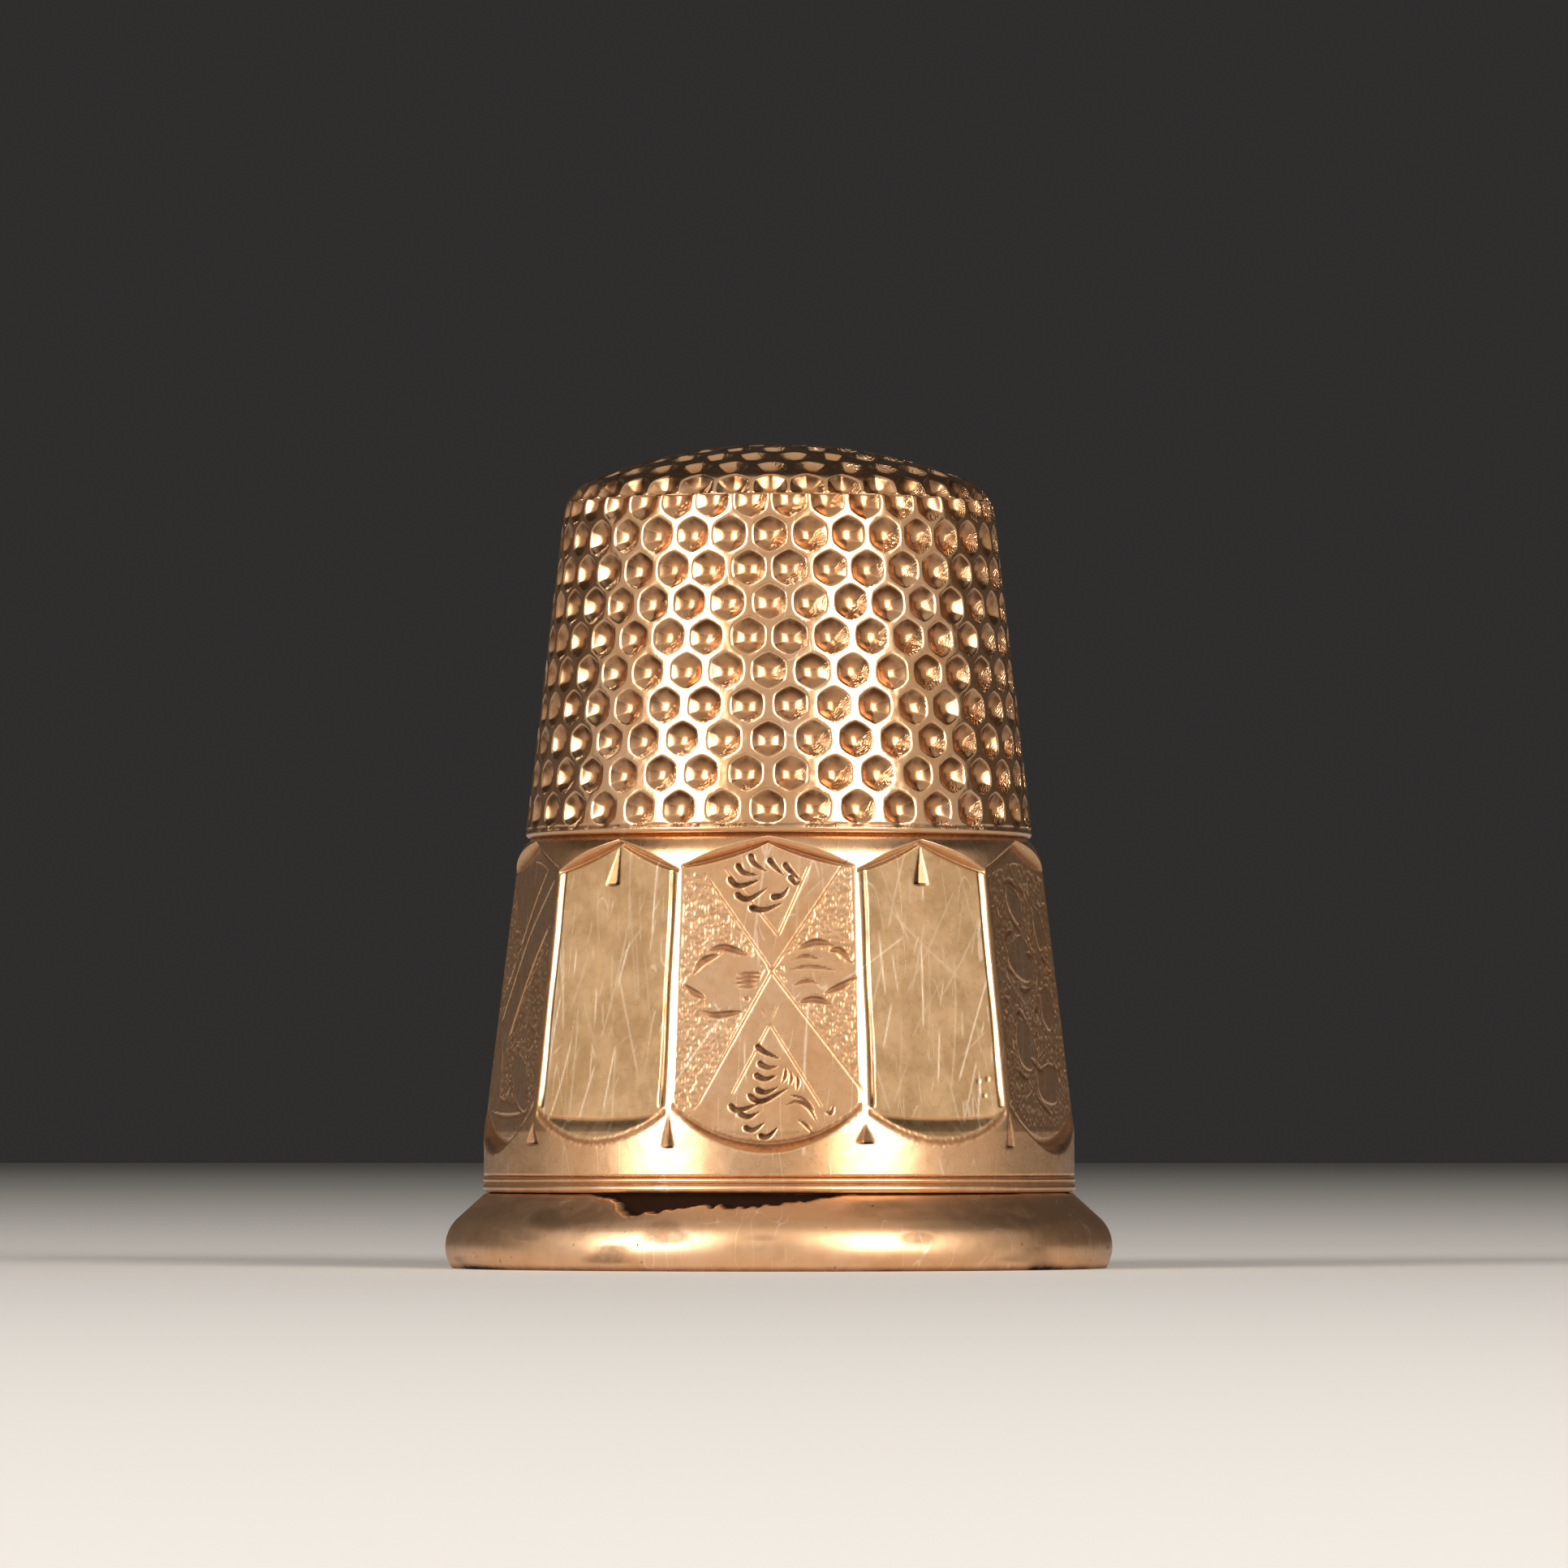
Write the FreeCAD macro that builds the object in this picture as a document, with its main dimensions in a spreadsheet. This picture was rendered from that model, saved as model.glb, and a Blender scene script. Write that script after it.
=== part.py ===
"""A sewing thimble of gold alloy, built from five coaxial pieces that are soldered together.

From the top down: a domed crown with rings of dimples, a tapered wall with rows of dimples, a tapered
band with ten flat panels, a reeded wire, and a hollow rolled rim. Millimetres, +Z up towards the crown,
origin on the axis in the plane that the rim stands on.
"""

import FreeCAD
import Part
import Sketcher
import math
import os
import re

# ---------------------------------------------------------------- driving dimensions, mm and degrees

DIMENSIONS = {
    # heights of the five zones, stacked from the standing plane
    "RimHeight": 1.95,
    "WireHeight": 0.40,
    "BandHeight": 8.65,
    "KnurlHeight": 8.60,
    "CrownHeight": 1.55,
    # the bore that takes the finger: a short parallel mouth, then a cone
    "MouthDiameter": 14.0,
    "MouthLand": 1.2,
    "BoreTaper": 6.25,
    # rim: a sheet rolled to a hollow bead
    "FootSheet": 0.30,
    "RimProjection": 1.25,
    "RimRound": 1.0,
    "RimRoundHeight": 0.55,
    "RimSheet": 0.30,
    "RimLip": 0.19,
    # wire: two reeds, the lower one larger
    "WireSheet": 0.30,
    "LowerReed": 0.23,
    "ReedBulge": 0.09,
    # band
    "BandStep": 0.27,
    "BandFootChamfer": 0.05,
    "BandFootLand": 1.15,
    "BandTaper": 6.93,
    "BandShoulder": 0.75,
    "BandShoulderRound": 1.1,
    "BandEdge": 0.13,
    # panels: wide and narrow ones take turns around the band
    "PanelPairs": 5,
    "WidePanelDepth": 0.36,
    "NarrowPanelDepth": 0.28,
    "WidePanelDrop": 0.33,
    "NarrowPanelDrop": 0.17,
    "PanelCorner": 0.60,
    "PanelHalfWidth": 2.45,
    "PanelPeakGap": 0.30,
    "PanelShoulderGap": 0.76,
    "ScallopRound": 4.0,
    # joint between wall and band
    "WallSpigotLength": 0.90,
    "WallSpigotSheet": 0.175,
    # dimpled wall
    "WallSheet": 0.59,
    "WallFootChamfer": 0.16,
    "WallTaper": 6.67,
    "ShoulderRise": 0.30,
    "ShoulderRound": 1.1,
    # crown
    "CrownSheet": 0.50,
    "CrownLipDepth": 0.50,
    "CrownLipSheet": 0.40,
    "CrownLipGap": 0.02,
    # dimples
    "DimpleDiameter": 0.92,
    "DimpleDepth": 0.22,
    "DimpleSpacing": 0.98,
    "FirstRowHeight": 0.64,
    "LastRowGap": 0.17,
    "RowPitch": 0.866,
    "FirstRingRise": 0.17,
    "DomeRingGap": 0.32,
    "RingPitch": 1.03,
}

FULL_TURN = 360
PANEL_CUT = 2.0  # how far a panel's cutter reaches outwards; any length that clears the band
SMALLEST_RING = 0.3  # a ring of dimples narrower than this is left out

doc = FreeCAD.newDocument("thimble")
sheet = doc.addObject("Spreadsheet::Sheet", "Dimensions")
for row, (alias, number) in enumerate(DIMENSIONS.items(), 1):
    sheet.set(f"A{row}", alias)
    sheet.set(f"B{row}", str(number))
    sheet.setAlias(f"B{row}", alias)
doc.recompute()


def bound(expression):
    """The expression with each alias written as a reference to the sheet."""
    return re.sub(r"\b([A-Z][A-Za-z]+)\b", r"Dimensions.\1", expression)


def value(expression):
    """The number that an expression of aliases gives now."""
    return float(sheet.evalExpression(bound(expression)))


# ---------------------------------------------------------------- shared levels and radii, as expressions

BAND_FOOT = "(RimHeight + WireHeight)"
BAND_LAND_TOP = f"({BAND_FOOT} + BandFootLand)"
BAND_TOP = f"({BAND_FOOT} + BandHeight)"
SEAM = f"({BAND_TOP} + KnurlHeight)"  # where the crown sits on the wall
APEX = f"({SEAM} + CrownHeight)"

MOUTH = "(MouthDiameter / 2)"
SEAT = f"({MOUTH} + FootSheet)"  # the foot that wire and rim sit on
RIM = f"({SEAT} + RimProjection)"


def bore_at(z):
    """Radius of the conical bore at height z."""
    return f"({MOUTH} - ({z} - MouthLand) * tan(BoreTaper * 1 deg))"


def ridge_at(z):
    """Radius of the band's cone, which the ridges between panels keep, at height z."""
    return f"({SEAT} + BandStep - ({z} - {BAND_LAND_TOP}) * tan(BandTaper * 1 deg))"


def wall_at(z):
    """Radius of the dimpled wall's cone at height z."""
    return f"({bore_at(BAND_TOP)} + WallSheet - ({z} - {BAND_TOP}) * tan(WallTaper * 1 deg))"


SPIGOT_FOOT = f"({BAND_TOP} - WallSpigotLength)"
SPIGOT = f"({bore_at(SPIGOT_FOOT)} + WallSpigotSheet)"

# the shoulder's round starts tangent to the wall's cone and runs on into the crown
ROUND_START = f"({SEAM} - ShoulderRise)"
ROUND_R = f"({wall_at(ROUND_START)} - ShoulderRound * cos(WallTaper * 1 deg))"
ROUND_Z = f"({ROUND_START} - ShoulderRound * sin(WallTaper * 1 deg))"
SEAM_R = f"({ROUND_R} + sqrt(ShoulderRound ^ 2 - ({SEAM} - {ROUND_Z}) ^ 2))"

# the dome is a ball on the axis, tangent to the shoulder's round from outside
DOME_Z = (
    f"(({ROUND_R} ^ 2 + {ROUND_Z} ^ 2 - ({APEX} - ShoulderRound) ^ 2)"
    f" / (2 * ({ROUND_Z} - {APEX} + ShoulderRound)))"
)
DOME = f"({APEX} - {DOME_Z})"
DOME_EDGE_R = f"({ROUND_R} * {DOME} / ({DOME} - ShoulderRound))"
DOME_EDGE_Z = f"({DOME_Z} + ({ROUND_Z} - {DOME_Z}) * {DOME} / ({DOME} - ShoulderRound))"

BALL = "((DimpleDiameter ^ 2 / 4 + DimpleDepth ^ 2) / (2 * DimpleDepth))"
BALL_LIFT = f"({BALL} - DimpleDepth)"


# ---------------------------------------------------------------- helpers


def new_body(name):
    """A body whose Label names its file, and its origin features by role."""
    body = doc.addObject("PartDesign::Body", name)
    body.Label = name
    return body, {feature.Role: feature for feature in body.Origin.OriginFeatures}


def arc_between(start, end, radius, left):
    """An arc of the given radius from start to end, its centre to the left or right of the chord."""
    chord = end - start
    side = FreeCAD.Vector(-chord.y, chord.x, 0).normalize() * (1 if left else -1)
    centre = (start + end) / 2 + side * math.sqrt(max(radius**2 - chord.Length**2 / 4, 0))
    circle = Part.Circle(centre, FreeCAD.Vector(0, 0, 1), radius)
    ends = [circle.parameter(start), circle.parameter(end)]
    return Part.ArcOfCircle(circle, *(ends if left else ends[::-1]))


def closed_sketch(body, plane, name, corners):
    """A closed sketch. A corner is (across, up) or (across, up, radius, side), where radius and side
    ("left" or "right") describe an arc to the next corner. Every value is an expression of aliases."""
    sketch = body.newObject("Sketcher::SketchObject", name)
    sketch.AttachmentSupport = [(plane, "")]
    sketch.MapMode = "FlatFace"
    places = [FreeCAD.Vector(value(c[0]), value(c[1]), 0) for c in corners]
    count = len(corners)
    ends = []  # for each edge, the sketch's point numbers of its first and last corner
    for i, corner in enumerate(corners):
        start, end = places[i], places[(i + 1) % count]
        if len(corner) == 2:
            sketch.addGeometry(Part.LineSegment(start, end), False)
            ends.append((1, 2))
        else:
            left = corner[3] == "left"
            sketch.addGeometry(arc_between(start, end, value(corner[2]), left), False)
            ends.append((1, 2) if left else (2, 1))
    for i in range(count):
        after = (i + 1) % count
        sketch.addConstraint(Sketcher.Constraint("Coincident", i, ends[i][1], after, ends[after][0]))
    for i, corner in enumerate(corners):
        for kind, axis, expression, place in (
            ("DistanceX", -2, corner[0], places[i].x),
            ("DistanceY", -1, corner[1], places[i].y),
        ):
            if expression == "0":
                sketch.addConstraint(Sketcher.Constraint("PointOnObject", i, ends[i][0], axis))
            else:
                bind(sketch, Sketcher.Constraint(kind, -1, 1, i, ends[i][0], place), expression)
        if len(corner) > 2:
            bind(sketch, Sketcher.Constraint("Radius", i, value(corner[2])), corner[2])
    doc.recompute()
    return sketch


def bind(sketch, constraint, expression):
    """Adds a constraint whose size follows the sheet."""
    index = sketch.addConstraint(constraint)
    sketch.setExpression(f"Constraints[{index}]", bound(expression))


def turned(body, planes, corners):
    """A solid of revolution about Z, from a profile in the XZ plane."""
    profile = closed_sketch(body, planes["XZ_Plane"], f"{body.Name}_profile", corners)
    solid = body.newObject("PartDesign::Revolution", f"{body.Name}_turned")
    solid.Profile = profile
    solid.ReferenceAxis = (profile, ["V_Axis"])
    solid.Angle = FULL_TURN
    doc.recompute()
    return solid


def around(body, planes, feature, count):
    """Repeats a feature around Z and makes the repeat the body's tip."""
    pattern = body.newObject("PartDesign::PolarPattern", f"{feature.Name}_around")
    pattern.Originals = [feature]
    pattern.Axis = (planes["Z_Axis"], [""])
    pattern.Angle = FULL_TURN
    pattern.Occurrences = count
    body.Tip = pattern
    doc.recompute()


def dimple_ball(body, planes, name, radius, height, lean, phase):
    """One ball-shaped dimple. radius and height place the ball's centre, lean is the angle of the
    surface's normal from Z, and phase is its place around Z, both in degrees."""
    ball = body.newObject("PartDesign::SubtractiveSphere", f"{name}_ball")
    ball.AttachmentSupport = [(planes["XY_Plane"], "")]
    ball.MapMode = "FlatFace"
    ball.setExpression("Radius", bound(BALL))
    swing = f"placement(vector(0; 0; {height}); rotation(vector(0; 0; 1); {phase}))"
    place = f"placement(vector({radius}; 0; 0); rotation(vector(0; 1; 0); {lean}))"
    ball.setExpression("AttachmentOffset", bound(f"{swing} * {place}"))
    doc.recompute()
    return ball


def dimple_grid(body, planes, name, height, step, rows, phase, columns):
    """Rows of dimples up the wall's slope, each repeated around Z. height is the first row's, and step is
    the rise from one row to the next."""
    slope = "(WallTaper * 1 deg)"
    ball = dimple_ball(
        body,
        planes,
        name,
        f"({wall_at(height)} + {BALL_LIFT} * cos{slope})",
        f"({height} + {BALL_LIFT} * sin{slope})",
        "(90 - WallTaper)",
        phase,
    )
    guide = body.newObject("Sketcher::SketchObject", f"{name}_slope")
    guide.AttachmentSupport = [(planes["XZ_Plane"], "")]
    guide.MapMode = "FlatFace"
    foot = FreeCAD.Vector(0, 0, 0)
    head = FreeCAD.Vector(-math.tan(math.radians(value("WallTaper"))), 1, 0)
    guide.addGeometry(Part.LineSegment(foot, head), True)
    guide.addConstraint(Sketcher.Constraint("Coincident", 0, 1, -1, 1))
    guide.addConstraint(Sketcher.Constraint("DistanceY", 0, 1, 0, 2, 1.0))
    bind(guide, Sketcher.Constraint("DistanceX", 0, 2, 0, 1, -head.x), f"tan{slope}")
    guide.AttachmentOffset.Rotation = FreeCAD.Rotation(FreeCAD.Vector(0, 1, 0), phase)
    grid = body.newObject("PartDesign::MultiTransform", name)
    rise = doc.addObject("PartDesign::LinearPattern", f"{name}_rise")
    rise.Direction = (guide, ["Axis0"])
    rise.setExpression("Length", bound(f"{step} * {rows - 1} / cos{slope}"))
    rise.Occurrences = rows
    turn = doc.addObject("PartDesign::PolarPattern", f"{name}_turn")
    turn.Axis = (planes["Z_Axis"], [""])
    turn.Angle = FULL_TURN
    turn.Occurrences = columns
    grid.Originals = [ball]
    grid.Transformations = [rise, turn]
    body.Tip = grid
    doc.recompute()


def panels(body, planes, name, depth, drop, turn):
    """Flat panels cut into the band's cone, one in each pair, each ending in an arc at the foot and in
    two scallops at the top. turn is the first panel's place around Z, in degrees."""
    slant = "cos(BandTaper * 1 deg)"
    corner = f"(PanelCorner / {slant})"
    foot = f"(-{drop} / {slant})"
    peak = f"(({BAND_TOP} - PanelPeakGap - {BAND_LAND_TOP}) / {slant})"
    shoulder = f"(({BAND_TOP} - PanelShoulderGap - {BAND_LAND_TOP}) / {slant})"
    rise = f"({corner} - {foot})"
    round_foot = f"((PanelHalfWidth ^ 2 + {rise} ^ 2) / (2 * {rise}))"
    outline = [
        ("-PanelHalfWidth", corner, round_foot, "left"),
        ("PanelHalfWidth", corner),
        ("PanelHalfWidth", shoulder, "ScallopRound", "right"),
        ("0", peak, "ScallopRound", "right"),
        ("-PanelHalfWidth", shoulder),
    ]
    sketch = closed_sketch(body, planes["XZ_Plane"], f"{name}_outline", outline)
    out = f"({ridge_at(BAND_LAND_TOP)} - {depth})"
    swing = f"placement(vector(0; 0; 0); rotation(vector(0; 1; 0); {turn}))"
    lean = f"placement(vector(0; {BAND_LAND_TOP}; {out}); rotation(vector(1; 0; 0); -BandTaper))"
    sketch.setExpression("AttachmentOffset", bound(f"{swing} * {lean}"))
    doc.recompute()
    before = body.Shape.Volume
    cut = body.newObject("PartDesign::Pocket", name)
    cut.Profile = sketch
    cut.Length = PANEL_CUT
    cut.Reversed = True
    doc.recompute()
    if cut.Shape.Volume >= before:
        raise RuntimeError(f"{name} cut nothing")
    around(body, planes, cut, int(value("PanelPairs")))


# ---------------------------------------------------------------- the five pieces


def make_rim():
    """A hollow bead with a flat underside, a round nose and a straight flank that runs up to a thin lip."""
    body, planes = new_body("rim_bead")
    centre_r, centre_z = f"({RIM} - RimRound)", "RimRoundHeight"
    lip_r = f"({SEAT} + RimLip)"
    reach = f"sqrt(({lip_r} - {centre_r}) ^ 2 + (RimHeight - {centre_z}) ^ 2)"
    # the flank touches the nose's round where their common normal stands at this angle
    flank = f"(acos(({lip_r} - {centre_r}) / {reach}) - acos(RimRound / {reach}))"
    hollow = "(RimRound - RimSheet)"
    corners = [
        (SEAT, "0"),
        (f"{centre_r} + sqrt(RimRound ^ 2 - {centre_z} ^ 2)", "0", "RimRound", "left"),
        (f"{centre_r} + RimRound * cos({flank})", f"{centre_z} + RimRound * sin({flank})"),
        (lip_r, "RimHeight"),
        (SEAT, "RimHeight"),
        (SEAT, f"RimHeight + (RimLip * cos({flank}) - RimSheet) / sin({flank})"),
        (
            f"{centre_r} + {hollow} * cos({flank})",
            f"{centre_z} + {hollow} * sin({flank})",
            hollow,
            "right",
        ),
        (f"{centre_r} + sqrt({hollow} ^ 2 - ({centre_z} - RimSheet) ^ 2)", "RimSheet"),
        (SEAT, "RimSheet"),
    ]
    turned(body, planes, corners)
    return body


def make_wire():
    """A ring of reeded wire between rim and band."""
    body, planes = new_body("foot_wire")
    valley = f"({SEAT} + WireSheet - ReedBulge)"
    upper = "(WireHeight - LowerReed)"
    split = "(RimHeight + LowerReed)"
    corners = [
        (SEAT, "RimHeight"),
        (valley, "RimHeight", "(LowerReed ^ 2 / 4 + ReedBulge ^ 2) / (2 * ReedBulge)", "left"),
        (valley, split, f"({upper} ^ 2 / 4 + ReedBulge ^ 2) / (2 * ReedBulge)", "left"),
        (valley, BAND_FOOT),
        (SEAT, BAND_FOOT),
    ]
    turned(body, planes, corners)
    return body


def make_band():
    """The tapered band: finger mouth and bore inside, flat panels between narrow ridges outside, and a
    counterbore at the top for the wall's spigot."""
    body, planes = new_body("panel_band")
    band_r = ridge_at(BAND_LAND_TOP)
    shoulder = f"({BAND_TOP} - BandShoulder)"
    corners = [
        (MOUTH, "0"),
        (SEAT, "0"),
        (SEAT, BAND_FOOT),
        (f"{band_r} - BandFootChamfer", BAND_FOOT),
        (band_r, f"{BAND_FOOT} + BandFootChamfer"),
        (band_r, BAND_LAND_TOP),
        (ridge_at(shoulder), shoulder, "BandShoulderRound", "left"),
        (f"{SPIGOT} + BandEdge", BAND_TOP),
        (SPIGOT, BAND_TOP),
        (SPIGOT, SPIGOT_FOOT),
        (bore_at(SPIGOT_FOOT), SPIGOT_FOOT),
        (MOUTH, "MouthLand"),
    ]
    turned(body, planes, corners)
    half_pitch = FULL_TURN / (2 * value("PanelPairs"))
    panels(body, planes, "wide_panel", "WidePanelDepth", "WidePanelDrop", 0)
    panels(body, planes, "narrow_panel", "NarrowPanelDepth", "NarrowPanelDrop", half_pitch)
    return body


def make_wall():
    """The dimpled wall, with a spigot below that plugs into the band."""
    body, planes = new_body("knurled_wall")
    chamfer_top = f"({BAND_TOP} + WallFootChamfer)"
    corners = [
        (bore_at(SPIGOT_FOOT), SPIGOT_FOOT),
        (SPIGOT, SPIGOT_FOOT),
        (SPIGOT, BAND_TOP),
        (f"{wall_at(chamfer_top)} - WallFootChamfer", BAND_TOP),
        (wall_at(chamfer_top), chamfer_top),
        (wall_at(ROUND_START), ROUND_START, "ShoulderRound", "left"),
        (SEAM_R, SEAM),
        (bore_at(SEAM), SEAM),
    ]
    turned(body, planes, corners)
    columns = int(2 * math.pi * value(wall_at(SEAM)) / value("DimpleSpacing"))
    span = "(KnurlHeight - FirstRowHeight - LastRowGap)"
    steps = round(value(f"{span} / RowPitch"))
    step = f"({span} / {steps})"
    for first in (0, 1):
        dimple_grid(
            body,
            planes,
            ("even_rows", "odd_rows")[first],
            f"({BAND_TOP} + FirstRowHeight + {step} * {first})",
            f"({step} * 2)",
            (steps - first) // 2 + 1,
            FULL_TURN / columns * first / 2,
            columns,
        )
    return body


def make_crown():
    """The domed crown, with rings of dimples above and a lip below that plugs into the wall's bore."""
    body, planes = new_body("crown_cap")
    lip = f"({bore_at(SEAM)} - CrownLipGap)"
    lip_foot = f"({SEAM} - CrownLipDepth)"
    inside = f"({lip} - CrownLipSheet)"
    inner_dome = f"({DOME} - CrownSheet)"
    corners = [
        ("0", f"{APEX} - CrownSheet", inner_dome, "right"),
        (inside, f"{DOME_Z} + sqrt({inner_dome} ^ 2 - {inside} ^ 2)"),
        (inside, lip_foot),
        (lip, lip_foot),
        (lip, SEAM),
        (SEAM_R, SEAM, "ShoulderRound", "left"),
        (DOME_EDGE_R, DOME_EDGE_Z, DOME, "left"),
        ("0", APEX),
    ]
    turned(body, planes, corners)

    # one ring just above the seam, on the shoulder's round
    climb = f"asin(({SEAM} + FirstRingRise - {ROUND_Z}) / ShoulderRound)"
    out = f"(ShoulderRound + {BALL_LIFT})"
    first = value(f"{ROUND_R} + ShoulderRound * cos({climb})")
    ball = dimple_ball(
        body,
        planes,
        "first_ring",
        f"({ROUND_R} + {out} * cos({climb}))",
        f"({ROUND_Z} + {out} * sin({climb}))",
        f"(90 - {climb} / 1 deg)",
        0,
    )
    around(body, planes, ball, int(2 * math.pi * first / value("DimpleSpacing")))

    # the other rings lie on the dome, each one pitch nearer to the axis
    out = f"({DOME} + {BALL_LIFT})"
    k = 0
    while value(f"{DOME_EDGE_R} - DomeRingGap - RingPitch * {k}") > SMALLEST_RING:
        ring = f"({DOME_EDGE_R} - DomeRingGap - RingPitch * {k})"
        count = round(2 * math.pi * value(ring) / value("DimpleSpacing"))
        lean = f"asin({ring} / {DOME})"
        ball = dimple_ball(
            body,
            planes,
            f"dome_ring_{k + 1}",
            f"({out} * sin({lean}))",
            f"({DOME_Z} + {out} * cos({lean}))",
            f"({lean} / 1 deg)",
            FULL_TURN / count * (k % 2) / 2,
        )
        around(body, planes, ball, count)
        k += 1
    return body


def check_and_write(pieces):
    """Stops at a failed object or a bad solid, then writes one STEP file for each piece."""
    doc.recompute()
    for thing in doc.Objects:
        if {"Invalid", "Error"} & set(thing.State):
            raise RuntimeError(f"{thing.Label} failed: {thing.State}")
    for piece in pieces:
        shape = piece.Shape
        if shape.isNull() or not shape.isValid() or len(shape.Solids) != 1:
            raise RuntimeError(f"{piece.Label} is not one valid solid")
    os.makedirs("parts", exist_ok=True)
    for piece in pieces:
        piece.Shape.exportStep(f"parts/{piece.Label}.step")
        print(f"{piece.Label}: {piece.Shape.Volume:.2f} mm3, {len(piece.Shape.Faces)} faces")


check_and_write([make_rim(), make_wire(), make_band(), make_wall(), make_crown()])
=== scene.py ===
"""Looks of the gold thimble: dense meshes for its five pieces, engraving cut into them, and worn gold.

Lengths are in mm until mesh_object() turns them into metres. Angles round the axis are 0 at -Y, the middle
of the front panel, and grow towards +X.
"""

import math

import bpy
import numpy as np
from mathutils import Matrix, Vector


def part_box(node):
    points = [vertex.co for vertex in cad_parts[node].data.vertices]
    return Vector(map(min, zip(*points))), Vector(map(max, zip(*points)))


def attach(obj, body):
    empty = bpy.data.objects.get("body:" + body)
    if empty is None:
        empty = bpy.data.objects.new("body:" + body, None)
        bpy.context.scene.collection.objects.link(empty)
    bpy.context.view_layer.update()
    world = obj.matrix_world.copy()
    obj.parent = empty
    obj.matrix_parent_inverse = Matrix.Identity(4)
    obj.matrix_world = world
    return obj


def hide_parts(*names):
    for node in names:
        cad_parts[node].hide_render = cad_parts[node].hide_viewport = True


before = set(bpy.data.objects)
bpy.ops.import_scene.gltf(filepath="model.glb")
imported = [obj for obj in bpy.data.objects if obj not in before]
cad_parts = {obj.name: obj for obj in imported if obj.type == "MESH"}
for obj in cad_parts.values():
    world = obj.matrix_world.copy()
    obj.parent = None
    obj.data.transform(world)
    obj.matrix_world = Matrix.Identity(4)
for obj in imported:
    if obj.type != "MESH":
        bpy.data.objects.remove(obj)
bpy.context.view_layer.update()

MM = 0.001
TAU = 2 * math.pi


# ---- levels and radii, from the frame


def high(node):
    """The upper corner of a CAD node's box."""
    return np.array(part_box(node)[1]) / MM


RIM_TOP = high("rim_bead")[2]
WIRE_TOP = high("foot_wire")[2]
BAND_TOP = high("panel_band")[2]
SEAM = high("knurled_wall")[2]
APEX = high("crown_cap")[2]
RIM_R = high("rim_bead")[0]
BAND_R = high("panel_band")[0]
WALL_R = high("knurled_wall")[0]
SEAT_R = 7.3  # the foot sleeve under wire and rim
MOUTH_R = 7.0
MOUTH_LAND = 1.2
BORE_SLOPE = math.tan(math.radians(6.25))
BAND_SLOPE = math.tan(math.radians(6.93))
WALL_TILT = math.radians(6.67)
WALL_SLOPE = math.tan(WALL_TILT)
LAND_TOP = WIRE_TOP + 1.15  # the band is a cylinder up to here, then a cone
WALL_FOOT = BAND_TOP + 0.16
SPIGOT_R = 6.20
SPIGOT_LOW = BAND_TOP - 0.9
ROUND = 1.1  # radius of the shoulder
ROUND_START = SEAM - 0.30


def bore(z):
    """Radius of the finger bore at height z."""
    return MOUTH_R - np.maximum(z - MOUTH_LAND, 0) * BORE_SLOPE


# ---- small numeric tools


def smooth(a, b, x):
    """0 below a, 1 above b, smooth between."""
    t = np.clip((x - a) / (b - a), 0, 1)
    return t * t * (3 - 2 * t)


MIXERS = (2654435761, 2246822519, 3266489917, 668265263)
LOW_BITS = 0xFFFFFFFF


def hashed(*keys):
    """A repeatable number from 0 to 1 for up to four whole-number keys."""
    n = np.zeros(np.broadcast(*keys).shape, np.uint32)
    for mixer, key in zip(MIXERS, keys):
        n ^= (((np.asarray(key, np.int64) & LOW_BITS) * mixer) & LOW_BITS).astype(np.uint32)
        n = (n ^ (n >> np.uint32(15))) * np.uint32(MIXERS[1])
    n ^= n >> np.uint32(13)
    n = n * np.uint32(MIXERS[2])
    n ^= n >> np.uint32(16)
    return n.astype(np.float64) / LOW_BITS


def noise(p, size, seed=0):
    """Value noise from -1 to 1 over 3-D points, with cells of a size."""
    q = np.asarray(p) / size
    base = np.floor(q).astype(np.int64)
    f = q - base
    f = f * f * (3 - 2 * f)
    out = np.zeros(q.shape[:-1])
    for dx in (0, 1):
        for dy in (0, 1):
            for dz in (0, 1):
                w = f[..., 0] if dx else 1 - f[..., 0]
                w = w * (f[..., 1] if dy else 1 - f[..., 1])
                w = w * (f[..., 2] if dz else 1 - f[..., 2])
                corner = hashed(base[..., 0] + dx, base[..., 1] + dy, base[..., 2] + dz, np.int64(seed))
                out += w * corner
    return out * 2 - 1


def ring_points(r, theta, z):
    """Points at radius r, angle theta and height z."""
    r, theta, z = np.broadcast_arrays(r, theta, z)
    return np.stack([r * np.sin(theta), -r * np.cos(theta), z], -1)


# ---- meshes


def mesh_object(name, points, quads, attributes, body="root"):
    """A smooth-shaded object from points in mm, faces of four corners, and numbers per point."""
    mesh = bpy.data.meshes.new(name)
    mesh.vertices.add(len(points))
    mesh.vertices.foreach_set("co", (points * MM).astype(np.float32).ravel())
    mesh.loops.add(quads.size)
    mesh.loops.foreach_set("vertex_index", quads.astype(np.int32).ravel())
    mesh.polygons.add(len(quads))
    mesh.polygons.foreach_set("loop_start", np.arange(0, quads.size, 4, dtype=np.int32))
    mesh.polygons.foreach_set("use_smooth", np.ones(len(quads), bool))
    mesh.update(calc_edges=True)
    for key, values in attributes.items():
        layer = mesh.attributes.new(key, "FLOAT", "POINT")
        layer.data.foreach_set("value", values.astype(np.float32).ravel())
    mesh.validate()
    piece = bpy.data.objects.new(name, mesh)
    bpy.context.scene.collection.objects.link(piece)
    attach(piece, body)
    return piece


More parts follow.
